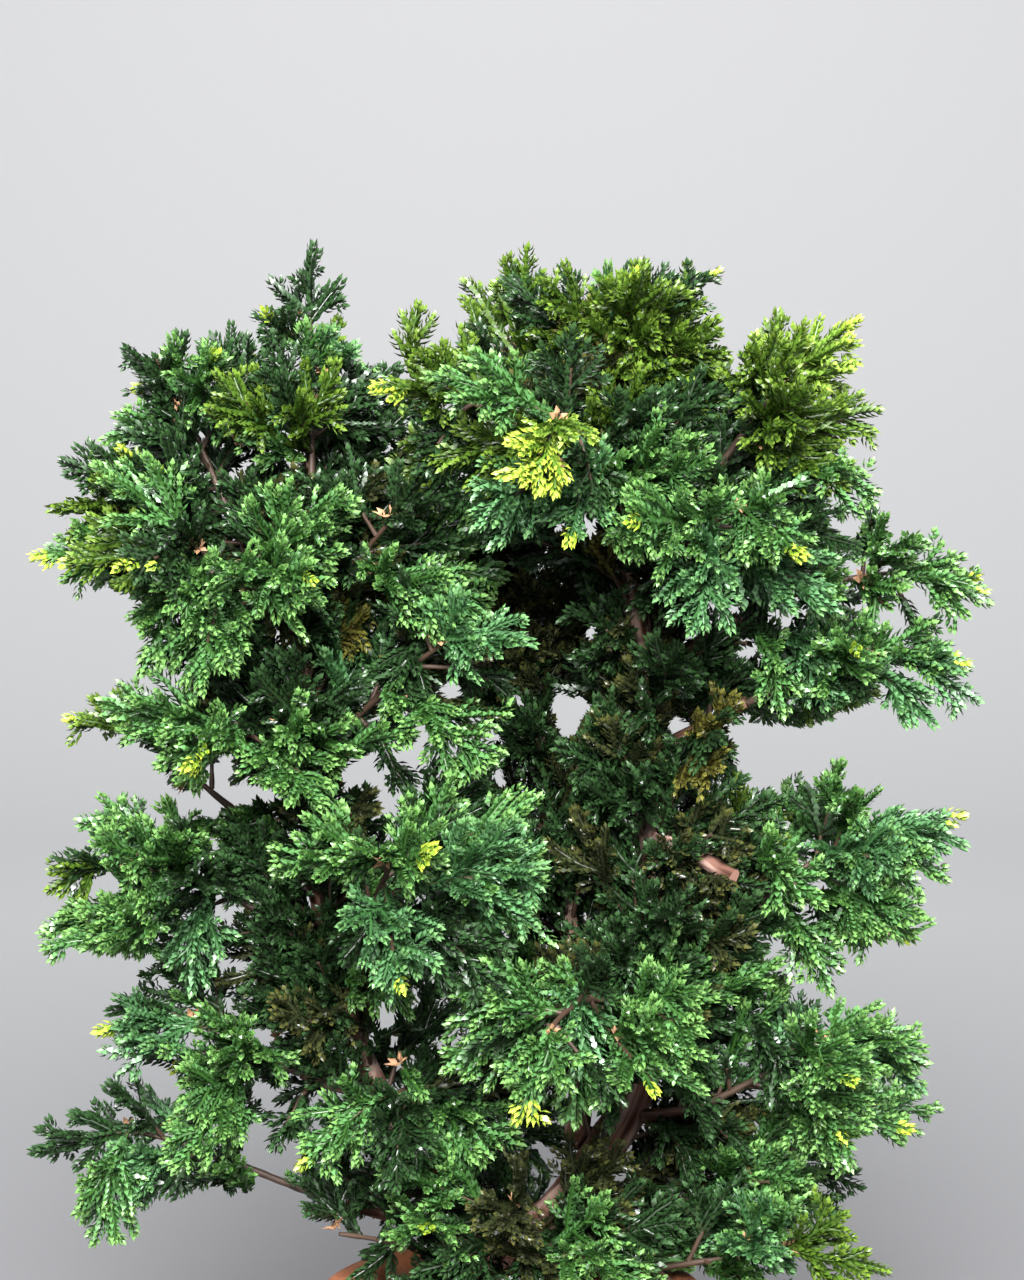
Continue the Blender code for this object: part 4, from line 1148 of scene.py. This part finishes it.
def leafTree():
    tree, given = startTree(
        "leaves on shoots", spacing="Float", young="Float", whorl="Object", bud="Object",
        seed="Int", **dict.fromkeys(leafParts, "Material"))
    stored = {name: addNode(tree, "GeometryNodeInputNamedAttribute", {"Name": name},
                            data_type=kind)
              for name, kind in (("along", "FLOAT_VECTOR"), ("side", "FLOAT_VECTOR"),
                                 ("size", "FLOAT"), ("left", "FLOAT"), ("gone", "FLOAT"),
                                 ("yellow", "FLOAT"), ("tip", "BOOLEAN"))}
    curve = addNode(tree, "GeometryNodeMeshToCurve", {"Mesh": given["Geometry"]})
    spaced = addNode(tree, "GeometryNodeResampleCurve",
                     {"Curve": curve, "Length": given["spacing"]}, mode="LENGTH")
    facing = addNode(tree, "FunctionNodeAxesToRotation", {
        "Primary Axis": stored["along"], "Secondary Axis": stored["side"]},
        primary_axis="Z", secondary_axis="X")
    turn, tilt = leafPlan["turn"], leafPlan["tilt"]
    change = addNode(tree, "FunctionNodeRandomValue", {
        "Min": (-tilt, -tilt, -turn), "Max": (tilt, tilt, turn), "Seed": given["seed"]},
        data_type="FLOAT_VECTOR")
    turned = addNode(tree, "FunctionNodeRotateRotation",
                     {"Rotation": facing, "Rotate By": change}, rotation_space="LOCAL")
    swell = addNode(tree, "FunctionNodeRandomValue", {
        2: leafPlan["sizes"][0], 3: leafPlan["sizes"][1], "Seed": given["seed"]},
        data_type="FLOAT")
    size = addNode(tree, "ShaderNodeMath", {0: stored["size"], 1: swell}, operation="MULTIPLY")

    less = {name: addNode(tree, "FunctionNodeCompare", {"A": first, "B": second},
                          operation="LESS_THAN", data_type="FLOAT")
            for name, first, second in (
                ("end", stored["left"], leafPlan["budReach"]),
                ("away", leafPlan["footGap"], stored["gone"]),
                ("young", stored["left"], given["young"]),
                ("yellow", stored["left"], stored["yellow"]))}
    both = {name: addNode(tree, "FunctionNodeBooleanMath", {0: first, 1: second}, operation=kind)
            for name, first, kind, second in (
                ("between", less["away"], "NIMPLY", less["end"]),
                ("young tip", less["young"], "AND", stored["tip"]),
                ("yellow tip", less["yellow"], "AND", stored["tip"]))}
    join = addNode(tree, "GeometryNodeJoinGeometry")
    for unit, chosen in (("whorl", both["between"]), ("bud", less["end"])):
        shape = addNode(tree, "GeometryNodeObjectInfo", {"Object": given[unit]})
        placed = addNode(tree, "GeometryNodeInstanceOnPoints", {
            "Points": spaced, "Instance": shape.outputs["Geometry"], "Selection": chosen,
            "Rotation": turned, "Scale": size})
        setInputs(tree, join, {"Geometry": placed})
    # the outer faces of each leaf take the paler tip colours: partly the leaf's own lighter point,
    # partly painted highlight
    chosen = (True, stored["tip"], less["young"], both["young tip"], less["yellow"],
              both["yellow tip"])
    return endTree(tree, join, *zip((given[name] for name in leafParts), chosen))


def leafFinish(name, colour):
    # waxy scale leaf, grown: a thin cuticle gives small pale highlights over a soft green
    return newFinish(name, colour, {"Roughness": 0.42, "IOR": 1.45, "Specular IOR Level": 0.5,
                                    "Coat Weight": 0.18, "Coat Roughness": 0.20})


leafGrowth = leafTree()
yellowFinishes = [leafFinish("new growth scale leaf", yellowPlan[0]),
                  leafFinish("new growth scale leaf point", yellowPlan[1])]
leafPieces, leafFinishes = [], {}  # a tone's shoots are shared out over pieces of like size
for tone, lines in shootsOf.items():
    leafFinishes[tone] = [
        leafFinish(f"{tone} green {part}", colour) for part, colour in zip(
            ("scale leaf", "scale leaf point", "young leaf", "young leaf point"),
            tonePlan[tone])]
    metres = sum(lengthOf(line["points"]) for line in lines)
    triangles = metres * leafPlan["whorlTriangles"] / leafPlan["spacing"]
    count = max(1, math.ceil(triangles / leafPlan["pieceTriangles"]))
    for part in range(count):
        share = lines[len(lines) * part // count:len(lines) * (part + 1) // count]
        piece = lineMesh(f"leaves_{tone}_{part + 1}", share)
        growByTree(piece, leafGrowth, spacing=leafPlan["spacing"], young=youngLength[tone] * mm,
                   whorl=whorl, bud=bud, seed=leafPlan["seed"] + len(leafPieces),
                   **dict(zip(leafParts, leafFinishes[tone] + yellowFinishes)))
        leafPieces.append(piece)
        print(piece.name, len(piece.data.polygons), "triangles", round(metres / count, 1), "m")
for unit in (whorl, bud):
    bpy.data.objects.remove(unit)


# twigs: the shoots' own thin stems, and the brown twigs that carry the fans

twigPlan = {
    "coreRadius": (0.85, 0.5), "coreSides": 3, "twigSides": 6, "twigRadius": (0.60, 0.38),
    "carrier": 0.85, "rachis": 0.55, "bumps": 0.16, "step": 2.2, "seed": 5,
}


def tubeTree():
    tree, given = startTree("stems along lines", sides="Int", finish="Material")
    curve = addNode(tree, "GeometryNodeMeshToCurve", {"Mesh": given["Geometry"]})
    ring = addNode(tree, "GeometryNodeCurvePrimitiveCircle",
                   {"Resolution": given["sides"], "Radius": 1.0})
    radius = addNode(tree, "GeometryNodeInputNamedAttribute", {"Name": "radius"},
                     data_type="FLOAT")
    tube = addNode(tree, "GeometryNodeCurveToMesh", {
        "Curve": curve, "Profile Curve": ring, "Scale": radius, "Fill Caps": True})
    soft = addNode(tree, "GeometryNodeSetShadeSmooth", {"Geometry": tube})
    return endTree(tree, soft, (given["finish"], True))


stemGrowth = tubeTree()


def stemPiece(name, lines, sides, finish):
    verts, edges, radii = [], [], []
    for points, sizes in lines:
        first = len(verts)
        verts += points
        radii += sizes
        edges += [(first + i, first + i + 1) for i in range(len(points) - 1)]
    piece = newPiece(name, verts, [], edges=edges)
    setPoints(piece.data, radius=radii)
    growByTree(piece, stemGrowth, sides=sides, finish=finish)
    return piece


# young cypress bark, grown: thin, red-brown, slightly glossy between flakes
twigBark = newFinish("young twig bark", "#3d2c20", {"Roughness": 0.62, "IOR": 1.5})
stemPieces = []
for tone, lines in shootsOf.items():
    coreLines = []
    for line in lines:
        if line["order"] < 2:  # the leaves of the smallest shoots close over them
            points = line["points"][:-1:2] + line["points"][-1:]
            coreLines.append((points, [
                mm * between(*twigPlan["coreRadius"], i / (len(points) - 1))
                for i in range(len(points))]))
    stemPieces.append(stemPiece("shoot_stems_" + tone, coreLines, twigPlan["coreSides"],
                                leafFinishes[tone][0]))

twigRng = random.Random(twigPlan["seed"])


def uneven(sizes):
    return [size * twigRng.uniform(1 - twigPlan["bumps"], 1 + twigPlan["bumps"]) for size in sizes]


def shootLine(shoot):
    # the twig that carries a mass
    length = (shoot["line"][-1] - shoot["line"][0]).length / mm
    count = max(4, round(length / twigPlan["step"]))
    line = [bezier(shoot["ends"], between(shoot["from"], shoot["to"], i / count))
            for i in range(count + 1)]
    return line, uneven([limbPlan["shootRadius"] * twigPlan["carrier"]
                         * between(1, limbPlan["shootTaper"], i / count)
                         for i in range(count + 1)])


def fanTwigLine(fan):
    # from the shoot to the fan's root, and on under its leaves
    foot, root = fan["start"], fan["root"]
    ahead = root + fan["axis"] * fan["length"] * twigPlan["rachis"]
    line = keptPoints([foot.lerp(root, i / 4) for i in range(4)]
                      + [root.lerp(ahead, i / 3) for i in range(4)])
    return line, uneven([mm * between(*twigPlan["twigRadius"], i / 7) for i in range(len(line))])


twigLines = [shootLine(parts[name][1]) for name in masses]
twigLines += [fanTwigLine(fan) for fans in [*masses.values(), added, *inner.values()]
              for fan in fans if not fan["bare"]]
twigs = stemPiece("twigs", [(line, sizes) for line, sizes in twigLines if len(line) > 2],
                  twigPlan["twigSides"], twigBark)
print("stems:", [len(piece.data.polygons) for piece in stemPieces], "and",
      len(twigs.data.polygons), "faces")


# bark: a skin with fibrous relief over the trunk, the two other stems and the boughs

barkPlan = {
    "ring": 1.1, "side": 1.0, "leastSides": 14,  # mm between rings and round them
    "strip": 1.25, "stretch": 0.13, "depth": 0.11, "deepest": 0.5,  # strips of bark, mm
    "stripScale": 0.8, "flakeScale": 1.7, "strips": 1.5, "flakes": 0.9, "sunk": 0.25,
    "lump": 8.0, "lumpDepth": 0.07, "flareLobes": 2.2, "grainShift": 0.2,
    "limbShift": (7.3, 3.1, 0), "flakeShift": Vector((5.2, 1.3, 2.7)),
}


def barkRelief(angle, radius, gone, seed):
    # strips that run along the limb, with cracks between them, from -1 to 1
    plan = barkPlan
    place = Vector((math.cos(angle) * radius, math.sin(angle) * radius,
                    gone * plan["stretch"])) / (plan["strip"] * mm)
    place += Vector([shift * seed for shift in plan["limbShift"]])
    strips = noise.noise(place * plan["stripScale"])
    flakes = abs(noise.noise(place * plan["flakeScale"] + plan["flakeShift"]))
    return max(-1.0, min(1.0, plan["strips"] * strips + plan["flakes"] * flakes - plan["sunk"]))


def finerLimb(limb):
    # its line with rings close together, and a radius for each
    line, radii = limb["line"], limb["radii"]
    fine, sizes = [], []
    for i, (here, there) in enumerate(zip(line, line[1:])):
        count = max(2, round((there - here).length / (barkPlan["ring"] * mm)))
        for k in range(count + (i == len(line) - 2)):
            fine.append(throughPoints(line, i, k / count))
            sizes.append(between(radii[i], radii[i + 1], k / count))
    return fine, sizes


def barkSkin(name, limbs, finish):
    verts, faces, relief, grain = [], [], [], []
    for seed, limb in enumerate(limbs):
        fine, sizes = finerLimb(limb)
        sides = max(barkPlan["leastSides"],
                    round(2 * math.pi * max(limb["radii"]) / (barkPlan["side"] * mm)))
        faces += tubeQuads(len(verts), len(fine), sides)
        side, gone = None, 0.0
        for i, point in enumerate(fine):
            slope = slopeAt(fine, i)
            if i:
                gone += (point - fine[i - 1]).length
            else:
                slope = limb.get("start", slope)
            side = across(slope, side if side else slope.orthogonal())
            other = slope.cross(side)
            fade = flareFade(point, limb["line"][0]) if name == "bark_trunk" else 0.0
            for k in range(sides):
                angle = 2 * math.pi * k / sides
                radius = sizes[i] * (1 + limbPlan["flareLobeDepth"] * barkPlan["flareLobes"]
                                     * fade * math.cos(limbPlan["flareLobes"] * angle))
                rough = barkRelief(angle, radius, gone, seed)
                lump = noise.noise(point / (barkPlan["lump"] * mm) + Vector((angle, 0, seed)))
                radius += min(barkPlan["depth"] * sizes[i], barkPlan["deepest"] * mm) * rough
                radius += sizes[i] * barkPlan["lumpDepth"] * lump
                ray = side * math.cos(angle) + other * math.sin(angle)
                verts.append(point + ray * radius)
                relief.append(rough)
                grain.append(Vector((math.cos(angle) * sizes[i], math.sin(angle) * sizes[i],
                                     gone + seed * barkPlan["grainShift"])))
    skin = newPiece(name, verts, faces, [finish])
    setPoints(skin.data, relief=relief, grain=grain)
    skin.data.shade_smooth()
    return skin


barkLook = {  # scales are per metre along and round the limb
    "fibres": ((2000, 2000, 160), 3.0), "greyed": ((220, 220, 60), 2.0),
    "relief": (-0.9, 0.7), "fibreShare": (0.45, -0.2),
    "stops": ((0.0, "#241813"), (1.0, "#8f766b"), (0.35, "#4a3027"), (0.68, "#6b4d42")),
    "weather": (0.5, 0.72, 0.55, "#7a706b"), "bump": (0.6, 0.2 * mm),
}


def barkPattern(tree):
    # fibres about 0.5 mm wide and 6 mm long, and patches about 5 mm wide
    grain, relief = [addNode(tree, "ShaderNodeAttribute", attribute_name=name).outputs[output]
                     for name, output in (("grain", "Vector"), ("relief", "Fac"))]
    patterns = cloudPatterns(tree, grain, barkLook, "fibres", "greyed")
    low, high = barkLook["relief"]
    depth = addNode(tree, "ShaderNodeMapRange", {
        "Value": relief, "From Min": low, "From Max": high}, clamp=True)
    most, less = barkLook["fibreShare"]
    blend = addNode(tree, "ShaderNodeMath", {0: patterns["fibres"], 1: most, 2: less},
                    operation="MULTIPLY_ADD")
    height = addNode(tree, "ShaderNodeMath", {0: depth, 1: blend}, operation="ADD",
                     use_clamp=True)
    # the ramp runs near black down in the cracks and pale on the raised strips: partly the bark's
    # own darker fissures, partly painted shade
    ramp = setStops(addNode(tree, "ShaderNodeValToRGB", {"Fac": height}), *barkLook["stops"])
    strength, distance = barkLook["bump"]
    return {"Base Color": paintOver(tree, ramp, patterns["greyed"], *barkLook["weather"]),
            "Normal": addNode(tree, "ShaderNodeBump", {
                "Height": patterns["fibres"], "Strength": strength, "Distance": distance})}


# old cypress bark, grown: dry red-brown strips that grey where light reaches them
bark = newFinish("fibrous cypress bark", "#6b4a3c", {
    "Roughness": 0.95, "IOR": 1.5, "Specular IOR Level": 0.15}, barkPattern)
skins = {name: barkSkin("bark_" + name, [stems[name]], bark) for name in stemPlan}
boughNames = [name for name in rows if parts[name][0]]
skins["boughs"] = barkSkin("bark_boughs", [parts[name][0] for name in boughNames], bark)
skins["stub"] = barkSkin("bark_cut_stub", [stubLimb], bark)
# sapwood, sawn across and weathered: matt, pinkish
skins["stub"].data.materials.append(newFinish("cut sapwood", "#a97c6c", {"Roughness": 0.8}))
cutFace = skins["stub"].data.polygons[-1]
cutFace.material_index, cutFace.use_smooth = 1, False
print("bark:", sum(len(skin.data.polygons) for skin in skins.values()), "faces")


# pot and peat

def turnedFaces(profile, sides, shape=None):
    verts, faces, rings = [], [], []
    for radius, height in profile:
        if radius == 0:
            rings.append([len(verts)])
            verts.append((0.0, 0.0, height))
            continue
        rings.append(list(range(len(verts), len(verts) + sides)))
        for k in range(sides):
            angle = 2 * math.pi * k / sides
            out = radius + (shape(angle, height) if shape else 0.0)
            verts.append((out * math.cos(angle), out * math.sin(angle), height))
    for low, high in zip(rings, rings[1:]):
        for k in range(sides):
            j = (k + 1) % sides
            if len(low) == 1:
                faces.append((low[0], high[j], high[k]))
            elif len(high) == 1:
                faces.append((low[k], low[j], high[0]))
            else:
                faces.append((low[k], low[j], high[j], high[k]))
    return verts, faces


def potProfile():
    plan = potPlan
    edge, top, floor = plan["edge"], plan["height"], plan["floor"]
    rimFoot = top - plan["band"]
    neck = plan["rimRadius"] - plan["step"]
    inner = plan["footRadius"] - plan["wall"] + (neck - plan["footRadius"]) / rimFoot * floor
    corners = [  # radius, height, rounding
        (0, 0, 0), (plan["footRadius"], 0, edge), (neck, rimFoot, plan["neckEdge"]),
        (plan["rimRadius"] - edge * plan["bandTaper"], rimFoot + plan["bandRise"],
         plan["bandEdge"]),
        (plan["rimRadius"], top, plan["rimEdge"]),
        (plan["rimRadius"] - plan["wall"], top, plan["innerEdge"]),
        (inner, floor, plan["floorEdge"]), (0, floor, 0)]
    profile = []
    for i, (radius, height, size) in enumerate(corners):
        here = Vector((radius, height))
        if not size:
            profile.append((radius, height))
            continue
        before = (Vector(corners[i - 1][:2]) - here).normalized() * size
        after = (Vector(corners[i + 1][:2]) - here).normalized() * size
        for k in range(plan["edgeRows"] + 1):
            t = k / plan["edgeRows"]
            p = (here + before) * (1 - t) ** 2 + here * 2 * t * (1 - t) + (here + after) * t * t
            profile.append((p.x, p.y))
    fine = []
    for a, b in zip(profile, profile[1:]):  # rows close enough for the wheel marks
        count = max(1, round(math.dist(a, b) / plan["row"])) if a[0] and b[0] else 1
        fine += [(a[0] + (b[0] - a[0]) * k / count, a[1] + (b[1] - a[1]) * k / count)
                 for k in range(count)]
    return fine + [profile[-1]]


clayLook = {  # scales are per metre
    "cloud": ((55, 55, 55), 8.0), "grit": ((850, 850, 850), 3.0), "bands": ((40, 40, 75), 8.0),
    "stops": ((0.32, "#7d4a31"), (0.70, "#ad6c48")), "lime": (0.55, 0.80, 0.55, "#c3a791"),
    "speck": (0.60, 0.72, 0.35, "#6b3f2a"), "bump": (0.8, 0.25 * mm),
}


def clayPattern(tree):
    # clouds about 18 mm wide, lime in bands about 25 mm wide, grit of about 1 mm
    place = addNode(tree, "ShaderNodeTexCoord").outputs["Object"]
    patterns = cloudPatterns(tree, place, clayLook, "cloud", "grit", "bands")
    ramp = addNode(tree, "ShaderNodeValToRGB", {"Fac": patterns["cloud"]})
    bloomed = paintOver(tree, setStops(ramp, *clayLook["stops"]), patterns["bands"],
                        *clayLook["lime"])
    strength, distance = clayLook["bump"]
    return {"Base Color": paintOver(tree, bloomed, patterns["grit"], *clayLook["speck"]),
            "Normal": addNode(tree, "ShaderNodeBump", {
                "Height": patterns["grit"], "Strength": strength, "Distance": distance})}


def wheelMarks(angle, height):
    # low ridges left by the throwing, and a pot that is not quite round
    plan = potPlan
    return (plan["wheelMark"] * math.sin(height / plan["wheelStep"] * 2 * math.pi
                                         + math.sin(angle) * plan["wheelSlant"])
            + plan["oval"] * math.sin(2 * angle + plan["ovalTurn"]))


# terracotta, thrown and fired: matt, sandy, clouded, with pale lime bloom
clay = newFinish("fired terracotta", "#a2603f", {
    "Roughness": 0.85, "IOR": 1.5, "Specular IOR Level": 0.35}, clayPattern)
pot = newPiece("clay_pot", *turnedFaces(potProfile(), potPlan["sides"], wheelMarks), [clay])
pot.data.shade_smooth()

peatPlan = {
    "rings": 22, "sides": 96, "gap": 0.9 * mm, "taper": 1.2 * mm, "depth": 8 * mm,
    "skin": 1 * mm, "lumps": 0.9 * mm, "settled": 0.4 * mm, "lumpSize": 6 * mm,
    "grainSize": 1.8 * mm, "grainShare": 0.5,
    "crumbs": 900, "crumb": (0.5 * mm, 1.5 * mm), "levelness": 0.4, "seed": 4,
    "crumbShape": ((0.6, 0.6, 0.4), (1.4, 1.2, 0.9)), "crumbTurn": (6.28, 6.28, 6.28),
    "crumbNoise": ((900, 900, 900), 3.0), "stops": (0.38, 0.75), "bump": (0.8, 0.3 * mm),
}


def peatSurface():
    plan, top = peatPlan, potPlan["soilTop"]
    inner = potPlan["rimRadius"] - potPlan["wall"] - plan["gap"]
    profile = [(0.0, top - plan["depth"]), (inner - plan["taper"], top - plan["depth"])]
    profile += [(inner * (1 - i / plan["rings"]), top) for i in range(plan["rings"])]
    verts, faces = turnedFaces(profile + [(0.0, top)], plan["sides"])
    raised = []
    for x, y, z in verts:
        if z > top - plan["skin"]:
            rough = noise.noise(Vector((x, y, 0.0)) / plan["lumpSize"]) + plan[
                "grainShare"] * noise.noise(Vector((x, y, 3.0)) / plan["grainSize"])
            z += rough * plan["lumps"] - plan["settled"]
        raised.append((x, y, z))
    return raised, faces


def peatFinish(name, dark, pale):
    def pattern(tree):
        place = addNode(tree, "ShaderNodeTexCoord").outputs["Object"]
        crumbs = cloudPatterns(tree, place, peatPlan, "crumbNoise")["crumbNoise"]
        ramp = addNode(tree, "ShaderNodeValToRGB", {"Fac": crumbs})
        strength, distance = peatPlan["bump"]
        return {"Base Color": setStops(ramp, *zip(peatPlan["stops"], (dark, pale))),
                "Normal": addNode(tree, "ShaderNodeBump", {
                    "Height": crumbs, "Strength": strength, "Distance": distance})}

    # moist peat, sieved: dark and matt, with paler crumbs about 1 mm wide
    return newFinish(name, dark, {"Roughness": 0.95, "IOR": 1.4, "Specular IOR Level": 0.2},
                     pattern)


def crumbTree():
    tree, given = startTree("crumbs on peat", density="Float", least="Float", most="Float",
                            seed="Int", finish="Material")
    upper = addNode(tree, "GeometryNodeInputNormal")
    level = addNode(tree, "ShaderNodeSeparateXYZ", {0: upper})
    isTop = addNode(tree, "FunctionNodeCompare", {
        "A": level.outputs["Z"], "B": peatPlan["levelness"]}, operation="GREATER_THAN")
    spots = addNode(tree, "GeometryNodeDistributePointsOnFaces", {
        "Mesh": given["Geometry"], "Selection": isTop, "Density": given["density"],
        "Seed": given["seed"]})
    crumb = addNode(tree, "GeometryNodeMeshIcoSphere", {"Radius": 1.0, "Subdivisions": 1})
    turn = addNode(tree, "FunctionNodeRandomValue", {
        "Max": peatPlan["crumbTurn"], "Seed": given["seed"]}, data_type="FLOAT_VECTOR")
    shape = addNode(tree, "FunctionNodeRandomValue", {
        "Min": peatPlan["crumbShape"][0], "Max": peatPlan["crumbShape"][1],
        "Seed": given["seed"]}, data_type="FLOAT_VECTOR")
    size = addNode(tree, "FunctionNodeRandomValue", {2: given["least"], 3: given["most"]},
                   data_type="FLOAT")
    scale = addNode(tree, "ShaderNodeVectorMath", {0: shape, "Scale": size}, operation="SCALE")
    placed = addNode(tree, "GeometryNodeInstanceOnPoints", {
        "Points": spots, "Instance": crumb, "Rotation": turn, "Scale": scale})
    return endTree(tree, placed, (given["finish"], True))


peatVerts, peatFaces = peatSurface()
peat = newPiece("peat", peatVerts, peatFaces, [peatFinish("moist peat", "#241a13", "#4a3828")])
peat.data.shade_smooth()
crumbs = newPiece("peat_crumbs", peatVerts, peatFaces)
growByTree(crumbs, crumbTree(), least=peatPlan["crumb"][0], most=peatPlan["crumb"][1],
           density=peatPlan["crumbs"] / (math.pi * (potPlan["rimRadius"] - potPlan["wall"]) ** 2),
           seed=peatPlan["seed"], finish=peatFinish("peat crumb", "#2a1f17", "#5d4732"))
print("pot and peat:", len(pot.data.polygons), "and", len(crumbs.data.polygons), "faces")


# dry scales: small papery brown clusters where the sprays fork

scalePlan = {  # mm and degrees; the turn is in radians
    "scales": 6, "turn": 2.4, "lean": (20, 45), "length": 3.0, "shorter": 0.12, "width": 1.5,
    "ridge": -0.30, "curl": 0.5, "step": 0.3, "out": 0.9, "forward": 0.5,
    "share": 0.34, "sizes": (0.75, 1.25), "seed": 8,
}


def scaleCluster():
    plan, verts, faces = scalePlan, [], []
    for k in range(plan["scales"]):
        shape = (plan["lean"][0] + plan["lean"][1] * (k % 3) / 2,
                 plan["length"] * (1 - plan["shorter"] * (k % 2)), plan["width"],
                 plan["ridge"], plan["curl"], True)
        leafVerts, leafTris = leafFaces(shape, k * plan["turn"], plan["step"] * (k % 3))
        faces += [tuple(i + len(verts) for i in face) for face in leafTris]
        verts += leafVerts
    return newPiece("cluster", verts, faces)


def clusterTree():
    tree, given = startTree("dry clusters at forks", cluster="Object", finish="Material")
    along, size = [addNode(tree, "GeometryNodeInputNamedAttribute", {"Name": name},
                           data_type=kind)
                   for name, kind in (("along", "FLOAT_VECTOR"), ("size", "FLOAT"))]
    facing = addNode(tree, "FunctionNodeAlignRotationToVector", {"Vector": along}, axis="Z")
    shape = addNode(tree, "GeometryNodeObjectInfo", {"Object": given["cluster"]})
    placed = addNode(tree, "GeometryNodeInstanceOnPoints", {
        "Points": given["Geometry"], "Instance": shape.outputs["Geometry"],
        "Rotation": facing, "Scale": size})
    return endTree(tree, placed, (given["finish"], True))


scaleRng = random.Random(scalePlan["seed"])
spots, headings, spotSizes = [], [], []
for fans in masses.values():
    for number, fan in enumerate(fans):
        if number == 0 or scaleRng.random() < scalePlan["share"]:
            spots.append(fan["root"] + fan["face"] * scalePlan["out"] * mm)
            headings.append((fan["face"] + fan["axis"] * scalePlan["forward"]).normalized())
            spotSizes.append(scaleRng.uniform(*scalePlan["sizes"]))
# dry bud scale, papery: thin, pale straw-brown, matt
dryScale = newFinish("papery dry scale", "#a07a5a", {"Roughness": 0.7, "IOR": 1.45})
cluster = scaleCluster()
dryScales = newPiece("dry_scales", spots, [])
setPoints(dryScales.data, along=headings, size=spotSizes)
growByTree(dryScales, clusterTree(), cluster=cluster, finish=dryScale)
bpy.data.objects.remove(cluster)
print("dry scales:", len(spots), "clusters")


# what each piece stands for

massNames = list(rows)
for piece in leafPieces + stemPieces + [twigs, dryScales]:
    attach(piece, "root")
    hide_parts(*massNames)
for name, skin in skins.items():
    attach(skin, "root")
    if name in stemPlan:
        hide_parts(name)
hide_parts(*[name + "_bough" for name in boughNames])
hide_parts("trunk")
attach(pot, "root")
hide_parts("pot")
for piece in (peat, crumbs):
    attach(piece, "root")
    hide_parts("soil")


# stage, light and camera

stagePlan = {
    # the paper's grey steps are painted shade, from the front of the floor up the back
    "paper": ((0.0, "#6a6a6c"), (1.0, "#a0a0a1"), (0.3, "#898a8b")), "fadeFrom": 0.25,
    "halfWidth": 3.2, "front": -2.6, "back": 2.5, "bend": 1.3, "bendRows": 24, "height": 3.4,
    "world": "#efeff1", "worldPower": 0.30,
}
lampPlan = {  # place, target, size, power and colour
    "key": ((-0.04, -1.22, 0.95), (0, 0, 0.2), 0.6, 99, "#ffffff"),
    "fill": ((0.9, -1.1, 0.55), (0, 0, 0.2), 1.2, 7.5, "#f4f6ff"),
    "top": ((-0.2, 0.25, 1.5), (0, 0, 0.2), 1.0, 3, "#f6f8ff"),
    "wash": ((0, 0.7, 2.6), (0, 2.3, 0.3), 1.4, 90, "#ffffff"),
}


def paintedPaperShade(tree):
    # painted shade: the paper darkens towards the front and lightens up the back
    place = addNode(tree, "ShaderNodeTexCoord").outputs["Object"]
    axes = addNode(tree, "ShaderNodeSeparateXYZ", {0: place})
    far = addNode(tree, "ShaderNodeMapRange", {
        "Value": axes.outputs["Y"], "From Min": stagePlan["fadeFrom"],
        "From Max": stagePlan["back"]}, clamp=True)
    fade = addNode(tree, "ShaderNodeValToRGB", {"Fac": far})
    return {"Base Color": setStops(fade, *stagePlan["paper"])}


def sweep():
    # floor that bends up into the backdrop
    plan = stagePlan
    bendFoot = plan["back"] - plan["bend"]
    line = [(plan["front"], 0.0), (bendFoot, 0.0)]
    for i in range(plan["bendRows"]):
        angle = math.pi / 2 * (i + 1) / plan["bendRows"]
        line.append((bendFoot + plan["bend"] * math.sin(angle),
                     plan["bend"] * (1 - math.cos(angle))))
    line.append((plan["back"], plan["height"]))
    verts = [(x, y, z) for y, z in line for x in (-plan["halfWidth"], plan["halfWidth"])]
    faces = [(2 * i, 2 * i + 1, 2 * i + 3, 2 * i + 2) for i in range(len(line) - 1)]
    # paper, rolled: smooth and matt, with painted shade that makes it darker towards the front and
    # lighter up the back
    paper = newFinish("matt backdrop paper", plan["paper"][0][1],
                      {"Roughness": 0.9, "Specular IOR Level": 0.2}, paintedPaperShade)
    piece = newPiece("backdrop", verts, faces, [paper])
    piece.data.shade_smooth()


sweep()
for name, (place, target, size, power, colour) in lampPlan.items():
    lamp = bpy.data.lights.new(name, "AREA")
    lamp.shape, lamp.size, lamp.energy, lamp.color = "DISK", size, power, linear(colour)[:3]
    holder = bpy.data.objects.new(name + "_light", lamp)
    holder.location = place
    holder.visible_camera = False
    holder.rotation_euler = (Vector(target) - holder.location).to_track_quat("-Z", "Y").to_euler()
    bpy.context.scene.collection.objects.link(holder)
world = bpy.data.worlds.new("studio")
world.use_nodes = True
setInputs(world.node_tree, world.node_tree.nodes["Background"], {
    "Color": linear(stagePlan["world"]), "Strength": stagePlan["worldPower"]})
bpy.context.scene.world = world
bpy.context.scene.view_settings.view_transform = "Standard"

cameraPlan = {"lens": 85, "sensor": 36, "range": (0.05, 20), "distance": 0.687,
              "target": (0, 0, 0.2314), "pitch": 5}
pitch = math.radians(cameraPlan["pitch"])
cameraData = bpy.data.cameras.new("camera")
cameraData.lens = cameraPlan["lens"]
cameraData.sensor_width = cameraPlan["sensor"]
cameraData.clip_start, cameraData.clip_end = cameraPlan["range"]
camera = bpy.data.objects.new("camera", cameraData)
camera.location = Vector(cameraPlan["target"]) + cameraPlan["distance"] * Vector(
    (0, -math.cos(pitch), math.sin(pitch)))
camera.rotation_euler = (math.pi / 2 - pitch, 0, 0)
bpy.context.scene.collection.objects.link(camera)
bpy.context.scene.camera = camera
print("stage, lights and camera set")
